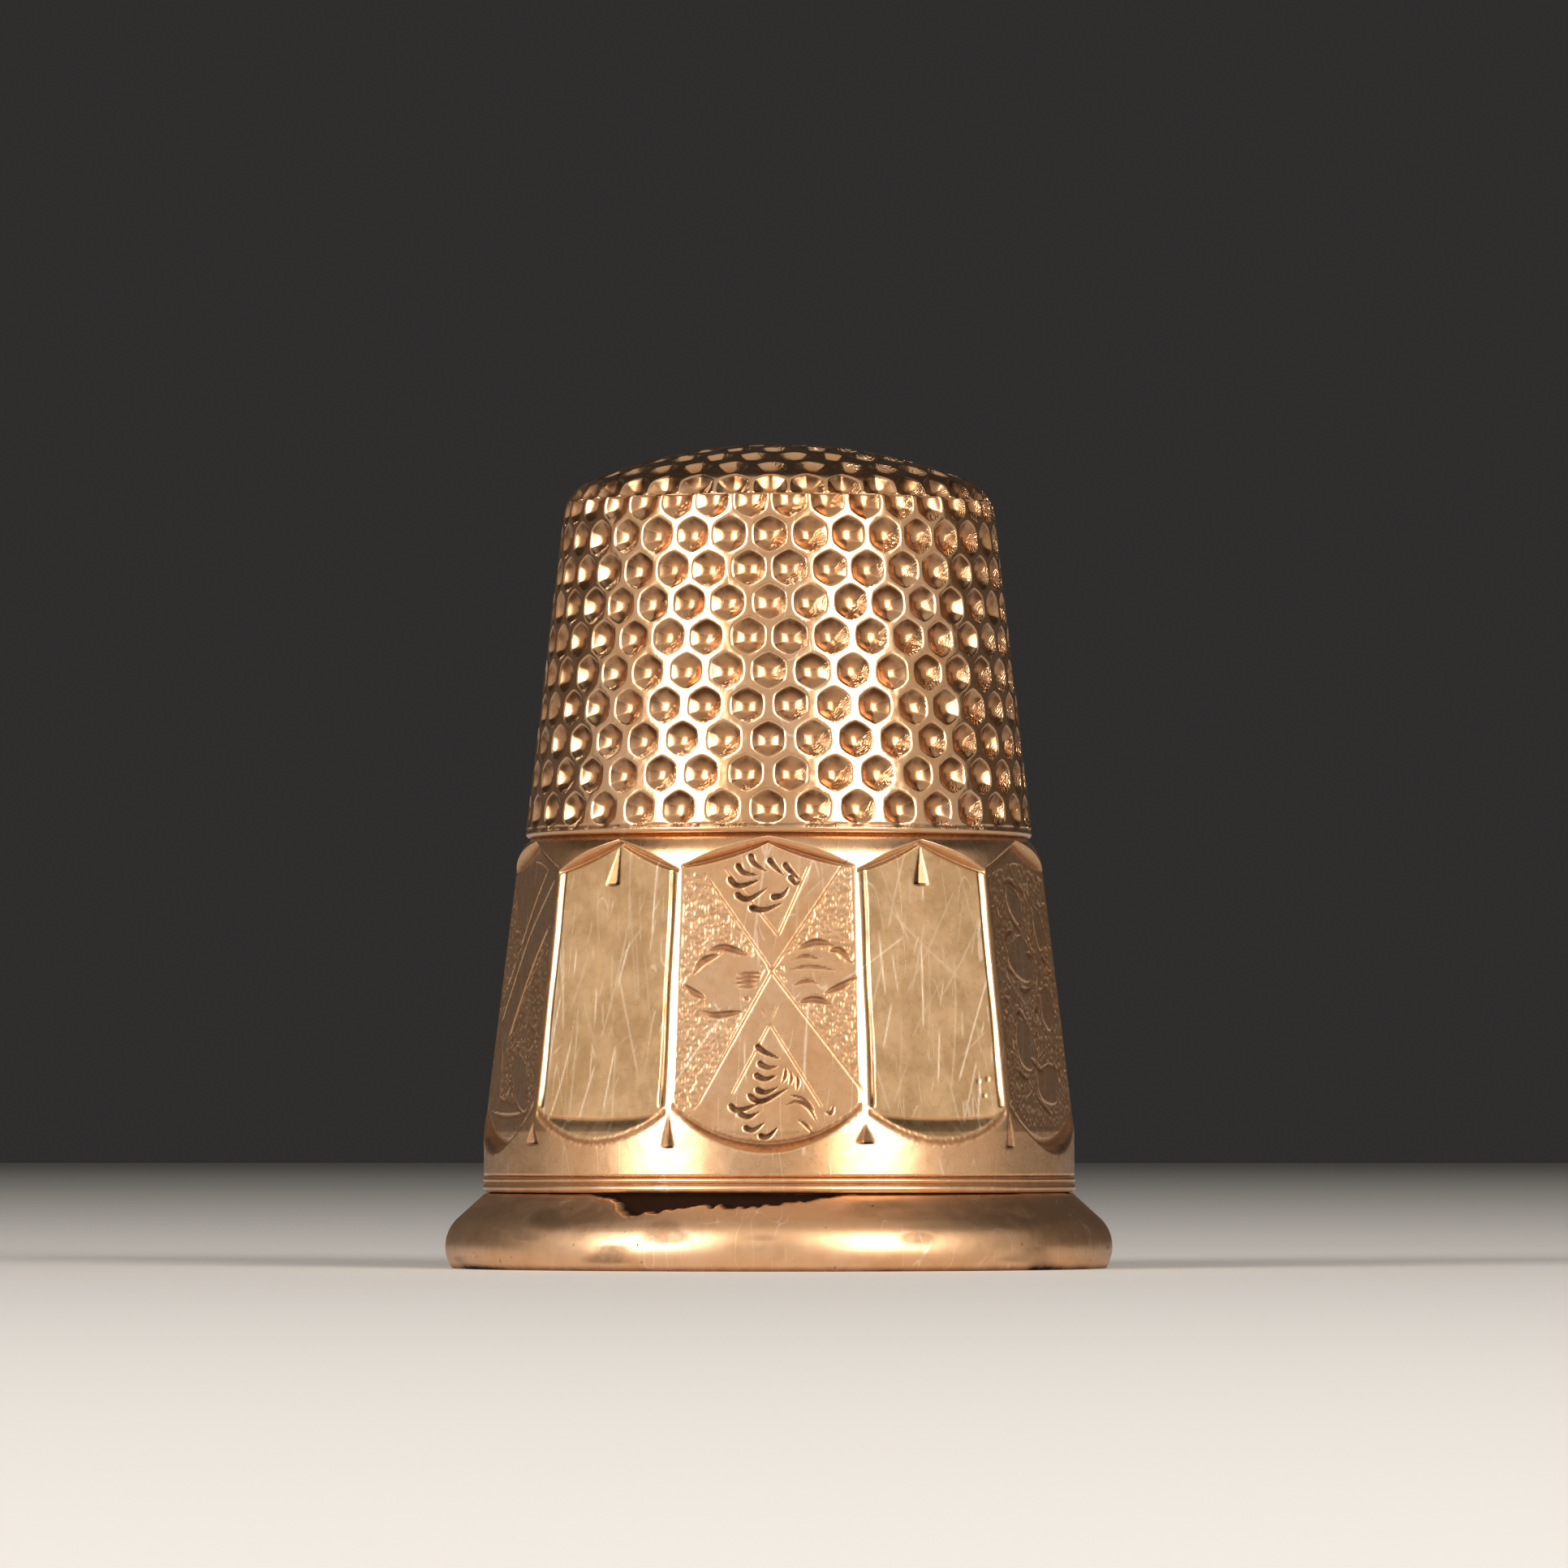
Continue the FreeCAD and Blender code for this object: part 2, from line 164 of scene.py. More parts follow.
def grid_quads(rows, columns, first=0, loop=False):
    """Faces between rows of points that each go right round. loop joins the last row to the first."""
    i = np.arange(rows if loop else rows - 1)[:, None]
    j = np.arange(columns)[None, :]
    row, next_row = i * columns, (i + 1) % rows * columns
    next_j = (j + 1) % columns
    corners = np.broadcast_arrays(row + j, row + next_j, next_row + next_j, next_row + j)
    return np.stack(corners, -1).reshape(-1, 4) + first


def resample(profile, step):
    """Points along a profile of (r, z) corners, at most step apart, corners kept."""
    out = [profile[0]]
    for a, b in zip(profile, profile[1:]):
        count = max(1, math.ceil(math.dist(a, b) / step))
        for k in range(1, count + 1):
            out.append((a[0] + (b[0] - a[0]) * k / count, a[1] + (b[1] - a[1]) * k / count))
    return np.array(out)


def arc(centre, radius, start, end, steps):
    """(r, z) points of an arc, angles in radians from +r towards +z."""
    angles = [start + (end - start) * k / steps for k in range(steps + 1)]
    return [(centre[0] + radius * math.cos(a), centre[1] + radius * math.sin(a)) for a in angles]


def turned(profile, theta):
    """Radius, angle and height of all points of a profile turned through the angles, as whole grids."""
    th = theta[None, :] + 0 * profile[:, :1]
    return profile[:, :1] + 0 * th, th, profile[:, 1:] + 0 * th


# ---- dimples

COLUMNS, ROWS = 35, 10
FIRST_ROW = 0.64  # centre of the lowest row, above the band
LAST_ROW = 0.17  # centre of the highest row, below the seam
ROW_STEP = (SEAM - BAND_TOP - FIRST_ROW - LAST_ROW) / (ROWS - 1)
ALONG_WALL = 1.007  # length along the sloping wall, for 1 mm of height
DIMPLE_R = 0.455
DIMPLE_DEPTH = 0.235
SHIFT = 0.03  # how far a dimple may be out of place, from end to end
RIM_SOFTNESS = 0.004  # rounds the edge of each bowl
FAR = 9.0  # beyond any dimple or tick


def bowl(dx, dy, key_a, key_b):
    """Depth of a dimple at an offset from its centre, and how far inside it the point is (0 at its edge)."""
    radius = DIMPLE_R * (1 + 0.05 * (hashed(key_a, key_b, np.int64(3)) - 0.5))
    depth = DIMPLE_DEPTH * (1 + 0.2 * (hashed(key_a, key_b, np.int64(4)) - 0.5))
    six = np.maximum(np.abs(0.5 * dx + 0.866 * dy), np.abs(0.5 * dx - 0.866 * dy))
    six = np.maximum(np.abs(dx), six)
    rho = (0.5 * np.hypot(dx, dy) + 0.52 * six) / radius
    inside = np.clip(1 - rho * rho, 0, 1)
    return depth * (np.sqrt(inside * inside + RIM_SOFTNESS) - math.sqrt(RIM_SOFTNESS)), inside


def shifted(dx, dy, *keys):
    """An offset from a dimple's centre, once the dimple is a little out of place."""
    dx = dx + SHIFT * (hashed(*keys, np.int64(1)) - 0.5)
    dy = dy + SHIFT * (hashed(*keys, np.int64(2)) - 0.5)
    return dx, dy


def take_nearest(best, kept, distance, values):
    """Keep new values where their dimple is nearer than the best so far; gives the new best distance."""
    near = distance < best
    for place, value in enumerate(values):
        kept[place] = np.where(near, value, kept[place])
    return np.where(near, distance, best)


def wall_dimples(theta, z, r):
    """Depth, how far inside its dimple, and the offset from its centre, for points of the wall."""
    best = np.full(theta.shape, FAR)
    kept = [np.zeros(theta.shape) for _ in range(4)]
    row = (z - BAND_TOP - FIRST_ROW) / ROW_STEP
    for step in (0, 1):
        k = np.clip(np.floor(row) + step, 0, ROWS - 1).astype(np.int64)
        u = theta / TAU * COLUMNS - 0.5 * (k % 2)
        j = np.round(u).astype(np.int64)
        dx = (u - j) * TAU / COLUMNS * r
        dy = (z - (BAND_TOP + FIRST_ROW + ROW_STEP * k)) * ALONG_WALL
        dx, dy = shifted(dx, dy, k, j % COLUMNS)
        depth, inside = bowl(dx, dy, k, j % COLUMNS)
        best = take_nearest(best, kept, np.hypot(dx, dy), (depth, inside, dx, dy))
    return kept


def shoulder_profile():
    """Centre of the shoulder's round, and the height of the centre of the dome that it runs on into."""
    wall_r = WALL_R - (ROUND_START - WALL_FOOT) * WALL_SLOPE
    cr, cz = wall_r - ROUND * math.cos(WALL_TILT), ROUND_START - ROUND * math.sin(WALL_TILT)
    dome_z = (cr**2 + cz**2 - (APEX - ROUND) ** 2) / (2 * (cz - APEX + ROUND))
    return cr, cz, dome_z


def make_wall():
    cr, cz, _ = shoulder_profile()
    top = arc((cr, cz), ROUND, WALL_TILT, math.asin((SEAM - cz) / ROUND), 5)
    foot = [
        (WALL_R - 0.13, BAND_TOP),
        (WALL_R - 0.05, BAND_TOP + 0.03),
        (WALL_R - 0.01, BAND_TOP + 0.09),
        (WALL_R, WALL_FOOT),
    ]
    outer = resample([*foot, *top], 0.047)
    back = [
        (top[-1][0] - 0.03, SEAM),
        (float(bore(SEAM)), SEAM),
        (float(bore(SPIGOT_LOW)), SPIGOT_LOW),
        (SPIGOT_R, SPIGOT_LOW),
        (SPIGOT_R, BAND_TOP),
    ]
    inner = resample(back, 0.8)
    columns = COLUMNS * 26
    theta = np.arange(columns) * TAU / columns
    r, th, z = turned(outer, theta)
    depth, share, offset_x, offset_y = wall_dimples(th, z, r)
    depth = depth * smooth(BAND_TOP + 0.12, BAND_TOP + 0.2, z)
    # a turned groove just above the foot leaves a thin bead below it
    groove = np.exp(-(((z - BAND_TOP - 0.2) / 0.035) ** 2)) * 0.05
    p = ring_points(r, th, z)
    dents = 0.012 * noise(p, 0.8, 5) * (1 - share) + 0.004 * noise(p, 0.13, 6)
    off = depth + groove + np.where(z < SEAM - 0.01, dents, dents * 0.3)
    off = off * smooth(BAND_TOP - 0.01, BAND_TOP + 0.05, z)
    p = ring_points(r - off * math.cos(WALL_TILT), th, z - off * math.sin(WALL_TILT))
    points = np.concatenate([p.reshape(-1, 3), ring_points(*turned(inner, theta)).reshape(-1, 3)])
    # painted shade where the wall meets the band, with dirt in the turned groove above it
    foot_dirt_and_shade = np.clip(groove * 22 + 1.2 * smooth(BAND_TOP + 0.05, BAND_TOP, z), 0, 1)
    unseen = np.zeros(len(inner) * columns)
    values = {
        "cavity_and_shade": np.clip(share + groove * 12, 0, 1),
        "dirt_and_shade": 0.7 * foot_dirt_and_shade,
        "dimple_x": offset_x,
        "dimple_y": offset_y,
    }
    values = {key: np.concatenate([seen.ravel(), unseen]) for key, seen in values.items()}
    quads = grid_quads(len(outer) + len(inner), columns, loop=True)
    return mesh_object("dimpled_wall", points, quads, values)


# the crown's rings of dimples inside the first: radius of the ring, dimples in it
RINGS = [(4.557, 28), (3.527, 22), (2.497, 15), (1.467, 9), (0.437, 3)]
CELLS = 236  # cells across the square that is folded onto the dome
CROWN_WALL = 0.5
LIP_GAP = 0.02
LIP_DEPTH = 0.5
LIP_WALL = 0.4


def folded_square(edge_r):
    """Radius and angle of the points of a square grid folded onto a disc, and the grid's point numbers. The
    cells keep about their size out to the disc's edge."""
    a = np.linspace(-1, 1, CELLS + 1)
    u, v = np.meshgrid(a, a, indexing="xy")
    wide, tiny = np.abs(u) >= np.abs(v), 1e-9
    right = math.pi / 4 * v / np.maximum(np.abs(u), tiny)
    left = math.pi + math.pi / 4 * v / np.minimum(u, -tiny)
    above = math.pi / 2 - math.pi / 4 * u / np.maximum(np.abs(v), tiny)
    below = -math.pi / 2 - math.pi / 4 * u / np.minimum(v, -tiny)
    angle = np.where(wide, np.where(u >= 0, right, left), np.where(v >= 0, above, below))
    radius = np.maximum(np.abs(u), np.abs(v)) * edge_r
    return radius.ravel(), angle.ravel(), np.arange((CELLS + 1) ** 2).reshape(CELLS + 1, CELLS + 1)


def crown_dimples(theta, z, r):
    """Depth, how far inside its dimple, and the offset from its centre, for points of the crown."""
    cr, cz, dome_z = shoulder_profile()
    dome = APEX - dome_z
    edge_r = cr * dome / (dome - ROUND)
    dome_angle = math.atan2(dome_z + math.sqrt(dome**2 - edge_r**2) - cz, edge_r - cr)
    first_angle = math.asin((SEAM + LAST_ROW - cz) / ROUND)
    first_r = cr + ROUND * math.cos(first_angle)
    on_round = (np.arcsin(np.clip((z - cz) / ROUND, -1, 1)) - first_angle) * ROUND
    on_dome = (dome_angle - first_angle) * ROUND + (edge_r - r) * 1.03
    best = np.full(theta.shape, FAR)
    kept = [np.zeros(theta.shape) for _ in range(4)]
    for number, (ring_r, count) in enumerate([(first_r, COLUMNS), *RINGS]):
        phase = 0.5 * (number % 2 == 0) if number else 0.0
        u = theta / TAU * count - phase
        j = np.round(u).astype(np.int64)
        if number:
            centre = (j + phase) * TAU / count
            x = r * np.sin(theta) - ring_r * np.sin(centre)
            y = r * np.cos(theta) - ring_r * np.cos(centre)
            dx = x * np.cos(centre) - y * np.sin(centre)
            dy = -(x * np.sin(centre) + y * np.cos(centre))
        else:
            dx = (u - j) * TAU / count * first_r
            dy = np.where(r > edge_r, on_round, on_dome)
        key = np.int64(50 + number)
        dx, dy = shifted(dx, dy, j % count, key)
        depth, inside = bowl(dx, dy, j % count, key)
        # on the dome the brown patina and its painted shade lie in the lower walls, and less of it
        values = (depth, inside, dx * 0.45, -dy * 0.45) if number else (depth, inside, dx, dy)
        best = take_nearest(best, kept, np.hypot(dx, dy), values)
    return kept


def make_crown():
    columns = 4 * CELLS
    cr, cz, dome_z = shoulder_profile()
    dome = APEX - dome_z
    edge_r = cr * dome / (dome - ROUND)
    # the dome, with its edge as one loop in the order of growing angle
    disc_r, disc_t, index = folded_square(edge_r)
    disc_z = dome_z + np.sqrt(dome**2 - disc_r**2)
    cells = np.stack([index[:-1, :-1], index[:-1, 1:], index[1:, 1:], index[1:, :-1]], -1).reshape(-1, 4)
    loop = np.concatenate([index[:-1, -1], index[-1, :0:-1], index[:0:-1, 0], index[0, :-1]])
    loop = loop[np.argsort(np.mod(disc_t[loop], TAU), kind="stable")]
    # the shoulder down to the seam, the lip in the wall's bore, and the ceiling
    seam_angle = math.asin((SEAM - cz) / ROUND)
    dome_angle = math.atan2(dome_z + math.sqrt(dome**2 - edge_r**2) - cz, edge_r - cr)
    down = np.array(arc((cr, cz), ROUND, dome_angle, seam_angle, 16))[1:]
    lip_r = float(bore(SEAM)) - LIP_GAP
    lip_low = SEAM - LIP_DEPTH
    ceiling_r = (lip_r - LIP_WALL) * np.array([1, 0.8, 0.6, 0.4, 0.2, 0.03])
    inner_dome = dome - CROWN_WALL
    under = [(down[-1][0] - 0.03, SEAM), (lip_r, SEAM), (lip_r, lip_low), (lip_r - LIP_WALL, lip_low)]
    ceiling = np.stack([ceiling_r, dome_z + np.sqrt(inner_dome**2 - ceiling_r**2)], -1)
    rings = np.concatenate([down, resample(under, 0.5), ceiling])
    r, th, z = turned(rings, disc_t[loop])
    outside = (np.arange(len(rings)) < len(down))[:, None] * 1.0
    disc_depth, disc_share, disc_x, disc_y = crown_dimples(disc_t, disc_z, disc_r)
    ring_depth, ring_share, ring_x, ring_y = crown_dimples(th, z, r)
    disc = ring_points(disc_r, disc_t, disc_z)
    normal = np.stack([disc[:, 0], disc[:, 1], disc[:, 2] - dome_z], -1) / dome
    dents = 0.012 * noise(disc, 0.8, 5) * (1 - disc_share) + 0.004 * noise(disc, 0.13, 6)
    disc = disc - normal * (disc_depth + dents)[:, None]
    lean = np.arcsin(np.clip((z - cz) / ROUND, -1, 1))
    dents = 0.012 * noise(ring_points(r, th, z), 0.8, 5) * (smooth(SEAM - 0.001, SEAM + 0.03, z) * outside)
    off = (ring_depth * smooth(SEAM - 0.03, SEAM + 0.02, z) + dents) * outside
    ring = ring_points(r - off * np.cos(lean), th, z - off * np.sin(lean) * (z > SEAM + 1e-6))
    points = np.concatenate([disc, ring.reshape(-1, 3), [[0, 0, dome_z + inner_dome]]])
    # faces: the dome, a row that joins it to the rings, the rings, and the middle of the ceiling
    first, tip = len(disc), len(points) - 1
    j = np.arange(columns)
    after = (j + 1) % columns
    join = np.stack([first + j, first + after, loop[after], loop[j]], -1)
    walls = grid_quads(len(rings), columns, first=first)[:, ::-1]
    last = first + (len(rings) - 1) * columns
    j = np.arange(0, columns, 2)
    middle = np.stack([last + (j + 2) % columns, last + j + 1, last + j, np.full(len(j), tip)], -1)
    quads = np.concatenate([cells, join, walls, middle])
    pairs = {"cavity_and_shade": (disc_share, ring_share), "dimple_x": (disc_x, ring_x), "dimple_y": (disc_y, ring_y)}
    values = {key: np.concatenate([a, (b * outside).ravel(), [0]]) for key, (a, b) in pairs.items()}
    return mesh_object("dimpled_crown", points, quads, values)


# ---- rim and wire


# the ragged gap above the rim at the front: how deep it is at some angles, in degrees from the front
GAP_ANGLES = (-37, -31, -27, -24, -22, -12, 4, 17)
GAP_DEPTHS = (0.0, 0.14, 0.42, 0.62, 0.46, 0.34, 0.24, 0.0)
RIM_ROUND, RIM_CENTRE_Z = 1.0, 0.55


def make_rim():
    columns = 1200
    cr, cz = RIM_R - RIM_ROUND, RIM_CENTRE_Z
    lip = (SEAT_R + 0.19, RIM_TOP)
    reach = math.hypot(lip[0] - cr, lip[1] - cz)
    flank = math.acos((lip[0] - cr) / reach) - math.acos(RIM_ROUND / reach)
    round_ = [(SEAT_R + 0.05, 0.0), *arc((cr, cz), RIM_ROUND, -math.asin(cz / RIM_ROUND), flank, 40)]
    round_ = resample(round_, 0.07)
    steps = np.linspace(0, 1, 26)[1:, None]
    outer = np.concatenate([round_, round_[-1] + (np.array(lip) - round_[-1]) * steps])
    seat = [(SEAT_R + 0.12, RIM_TOP - 0.02), (SEAT_R, RIM_TOP - 0.06), (SEAT_R, 0.35), (SEAT_R, 0.02)]
    rows = np.concatenate([outer, np.array(seat)])
    r, th, z = turned(rows, np.arange(columns) * TAU / columns)
    out = (np.arange(len(rows)) < len(outer))[:, None] * 1.0
    p = ring_points(r, th, z)
    waver = (0.016 * noise(p, 2.6, 11) + 0.007 * noise(p, 0.9, 12)) * smooth(0.02, 0.25, z) * out
    # the lip has broken away from the wire at the front, and is ragged there
    degrees = np.degrees((th + math.pi) % TAU - math.pi)
    at = ring_points(7.5, th, z * 0)
    ragged = 1 + 0.25 * noise(at, 0.42, 13) + 0.22 * noise(at, 0.16, 14)
    gap = np.interp(degrees, GAP_ANGLES, GAP_DEPTHS) * ragged + 0.025 * (1 + noise(at, 0.9, 15))
    sunk = smooth(-0.012, 0.012, z - (RIM_TOP - gap)) * out
    r = r + waver
    r = np.where(out > 0, r - sunk * np.maximum(r - (SEAT_R + 0.05), 0), r)
    # painted shade darkens the gap, the hidden seat seen through it and a line along the foot; dirt lies in
    # stains drawn out round the rim
    dirt_and_shade = np.maximum(np.clip(sunk * 3, 0, 1.4), (1 - out) * (z > 0.3))
    # painted shade just below the gap's edge and along the rim's bottom edge
    edge = 0.5 * smooth(0.10, 0.0, RIM_TOP - gap - z) * out
    cavity_and_shade = np.clip(dirt_and_shade + smooth(0.12, 0.0, z) * 0.9 + edge, 0, 1)
    drawn_out = ring_points(r, th, z) * np.array([0.4, 0.4, 1.8])
    stain = 0.52 * smooth(0.22, 0.70, noise(drawn_out, 0.5, 17)) + 0.8 * smooth(0.86, 0.95, noise(p, 0.11, 19))
    # painted shade: darker along the rim's foot
    foot = 0.6 * smooth(0.17, 0.02, z) * (0.35 + 0.65 * smooth(0.0, 0.03, z)) * out
    values = {"cavity_and_shade": cavity_and_shade, "dirt_and_shade": np.maximum(dirt_and_shade, stain * out) + foot}
    quads = grid_quads(len(rows), columns, loop=True)
    return mesh_object("rolled_rim", ring_points(r, th, z).reshape(-1, 3), quads, values)


REED_HEIGHT = 0.09
LOWER_REED = 0.23  # width of the lower of the wire's two reeds


def make_wire():
    columns = 720
    valley = SEAT_R + 0.21

    def reed(low_z, width):
        swell = [REED_HEIGHT * math.sin(math.pi * k / 10) ** 0.7 for k in range(11)]
        return [(valley + swell[k], low_z + width * k / 10) for k in range(11)]

    outer = reed(RIM_TOP, LOWER_REED) + reed(RIM_TOP + LOWER_REED, WIRE_TOP - RIM_TOP - LOWER_REED)[1:]
    rows = np.array([*outer, (SEAT_R, WIRE_TOP), (SEAT_R, RIM_TOP)])
    r, th, z = turned(rows, np.arange(columns) * TAU / columns)
    shown = r > SEAT_R + 0.1
    r = r + 0.008 * noise(ring_points(r, th, z), 1.1, 21) * shown
    cavity_and_shade = np.clip(1 - (r - valley) / REED_HEIGHT, 0, 1)
    # painted shade: the wire's faces against the sleeve, seen in the rim's gap, are painted dark
    values = {"cavity_and_shade": cavity_and_shade, "dirt_and_shade": 0.5 * cavity_and_shade * shown + 0.9 * (1 - shown)}
    quads = grid_quads(len(rows), columns, loop=True)
    return mesh_object("reeded_wire", ring_points(r, th, z).reshape(-1, 3), quads, values)


# ---- engraving


def smooth_path(points):
    """A smooth line near a few points, as short runs."""
    p = np.array(points, float)
    if len(p) == 2:
        return p
    p = np.concatenate([[2 * p[0] - p[1]], p, [2 * p[-1] - p[-2]]])
    t = np.linspace(0, 1, 7)[:-1][:, None]
    runs = []
    for a, b, c, d in zip(p, p[1:], p[2:], p[3:]):
        square, cube = 2 * a - 5 * b + 4 * c - d, 3 * b - a - 3 * c + d
        runs.append(0.5 * (2 * b + (c - a) * t + square * t**2 + cube * t**3))
    return np.concatenate([*runs, p[-2][None, :]])


def taper(kind, s):
    """Share of the full width at s, 0 to 1 along a cut."""
    s = np.clip(s, 0, 1)
    if kind == "line":
        return np.minimum(1, np.minimum(s, 1 - s) / 0.05 + 0.25)
    if kind == "comma":
        return np.minimum(1, s / 0.10) ** 0.5 * (1 - s) ** 0.55
    return np.maximum(np.sin(math.pi * s), 0) ** 0.65


def raise_to(marks, key, values, where=...):
    """Raise one of the arrays in marks to values where they are higher."""
    marks[key][where] = np.maximum(marks[key][where], values)


def engrave(x, z, marks, points, half_width, deep, kind, lean, tone, dirt_and_shade):
    """One graver's cut, V-shaped, along a path on a panel. marks holds arrays: depth, cavity and dirt; the
    last two also carry painted shade from other marks.
    """
    path = smooth_path(points)
    lo, hi = path.min(0) - half_width, path.max(0) + half_width
    pick = np.nonzero((x > lo[0]) & (x < hi[0]) & (z > lo[1]) & (z < hi[1]))
    if not len(pick[0]):
        return
    p = np.stack([x[pick], z[pick]], -1)[:, None, :]
    start, run = path[:-1][None], np.diff(path, axis=0)[None]
    length = np.hypot(run[..., 0], run[..., 1])
    t = np.clip(((p - start) * run).sum(-1) / length**2, 0, 1)
    away = p - start - run * t[..., None]
    distance = np.hypot(away[..., 0], away[..., 1])
    nearest = distance.argmin(1)
    row = np.arange(len(nearest))
    before = np.concatenate([[0], np.cumsum(length[0])])
    along = (before[nearest] + t[row, nearest] * length[0, nearest]) / length.sum()
    run, away = run[0, nearest], away[row, nearest]
    side = np.sign(run[:, 0] * away[:, 1] - run[:, 1] * away[:, 0])
    share = taper(kind, along)
    offset = side * distance[row, nearest] / np.maximum(half_width * share, 1e-4)
    v = np.clip(np.where(offset < lean, (1 + offset) / (1 + lean), (1 - offset) / (1 - lean)), 0, 1)
    raise_to(marks, "depth", deep * share * v, pick)
    raise_to(marks, "cavity_and_shade", tone * np.minimum(1, v * 2.2), pick)
    raise_to(marks, "dirt_and_shade", dirt_and_shade * np.minimum(1, v * 2.5), pick)


def within(x, z, corners):
    """True inside a closed outline."""
    c = np.array(corners)
    found = np.zeros(x.shape, bool)
    for (x0, z0), (x1, z1) in zip(c, np.roll(c, -1, 0)):
        if z0 != z1:
            found ^= ((z0 > z) != (z1 > z)) & (x < (x1 - x0) * (z - z0) / (z1 - z0) + x0)
    return found


def chip(x, z, marks, top, base_z, left, right, valley, deep, tone, dirt_and_shade, shaded_side):
    """A hanging triangular cut: from a point at the top it widens and deepens to a straight base from left to
    right, with its valley between them. The last argument is the side, 1 or -1, painted darkest as shade;
    the other face is dimmed with some painted shade, and the base is darkened too."""
    t = np.clip((top - z) / (top - base_z), 0, 1.2)
    reach = np.where(x > valley * t, (right - valley) * t, (valley - left) * t)
    side = np.clip(1 - np.abs(x - valley * t) / np.maximum(reach, 1e-4), 0, 1)
    ends = smooth(base_z - 0.02, base_z + 0.06, z) * (z < top)
    on = np.clip(side * 4, 0, 1) * (z > base_z) * (z < top)
    # painted shade: one face of the cut is painted dark, the other dimmed
    face = (x - valley * t) * shaded_side > 0
    raise_to(marks, "depth", deep * t * side * ends)
    raise_to(marks, "cavity_and_shade", on * tone)
    base_dirt_and_shade = on * 0.5 * dirt_and_shade * smooth(base_z + 0.1, base_z, z)
    raise_to(marks, "dirt_and_shade", on * np.where(face, dirt_and_shade, 0.38 * dirt_and_shade) + base_dirt_and_shade)


def scratched(x, z, seed, count):
    """Fine, nearly straight scratches over a panel, 0 to 1."""
    out = np.zeros(x.shape)
    for k in range(count):
        draws = [float(hashed(np.int64(seed), np.int64(k), np.int64(i))) for i in range(7)]
        place, rise, long_, turn, sway, bend, strength = draws
        angle = math.radians(90 + (turn + sway - 1) * (30 if k % 4 else 85))
        length = 0.5 + 3.4 * long_**2
        from_x, from_z = x - (place - 0.5) * 3.6, z - 3.9 - rise * 6.2
        along = from_x * math.cos(angle) + from_z * math.sin(angle)
        off = from_z * math.cos(angle) - from_x * math.sin(angle) - (bend - 0.5) * 0.22 * along**2 / length
        line = np.clip(1 - np.abs(off) / 0.034, 0, 1)
        line = line * smooth(length / 2, length / 2 - 0.25, np.abs(along))
        out = np.maximum(out, line * (0.25 + 0.75 * strength**2))
    return out


# Each design: (points as (across, height) in mm, half-width, depth, kind, lean, tone, dirt)
STRAPS = [
    ([(-1.59, 9.96), (0.05, 7.61), (0.14, 7.44), (2.49, 4.40)], 0.04, 0.028, "line", 0.3, 0.8, 0.45),
    ([(2.03, 10.40), (0.20, 7.65), (0.07, 7.44), (-1.82, 4.02)], 0.04, 0.028, "line", -0.3, 0.8, 0.45),
    ([(-1.09, 10.11), (0.28, 8.38)], 0.035, 0.025, "line", 0.3, 0.8, 0.45),
    ([(1.05, 10.19), (0.26, 8.38)], 0.035, 0.025, "line", -0.3, 0.8, 0.45),
    ([(-0.88, 4.40), (0.07, 6.19)], 0.035, 0.025, "line", 0.3, 0.8, 0.45),
    ([(1.41, 4.06), (0.07, 6.19)], 0.035, 0.025, "line", -0.3, 0.8, 0.45),
    ([(0.32, 6.81), (0.07, 6.19)], 0.02, 0.02, "leaf", 0.0, 0.2, 0.0),
    ([(-0.18, 6.61), (0.03, 6.27)], 0.02, 0.02, "leaf", 0.0, 0.2, 0.0),
]
LEAF_CUTS = [
    [(-1.51, 8.02), (-1.09, 8.10), (-0.47, 7.90)],
    [(-1.88, 7.42), (-1.63, 7.75), (-1.18, 7.95)],
    [(-2.09, 7.19), (-1.88, 6.98), (-1.55, 6.83)],
    [(-1.72, 6.54), (-1.30, 6.40), (-0.59, 6.50)],
    [(0.74, 8.06), (1.20, 8.23), (1.66, 8.17)],
    [(1.53, 8.02), (1.82, 8.02), (2.12, 7.71)],
    [(1.41, 6.94), (1.87, 7.13), (2.26, 7.36)],
    [(0.78, 6.73), (1.20, 6.79), (1.64, 6.69)],
]
HATCH = [
    [(-0.80, 7.43), (-0.13, 7.46)],
    [(-0.84, 7.32), (-0.14, 7.36)],
    [(-0.84, 7.21), (-0.18, 7.25)],
    [(-0.76, 7.11), (-0.26, 7.13)],
    [(-0.63, 6.83), (-0.43, 6.81)],
    [(0.62, 7.79), (0.95, 7.89), (1.34, 7.81)],
    [(0.53, 7.54), (1.03, 7.63), (1.74, 7.54)],
    [(0.62, 7.15), (0.99, 7.26), (1.32, 7.20)],
]
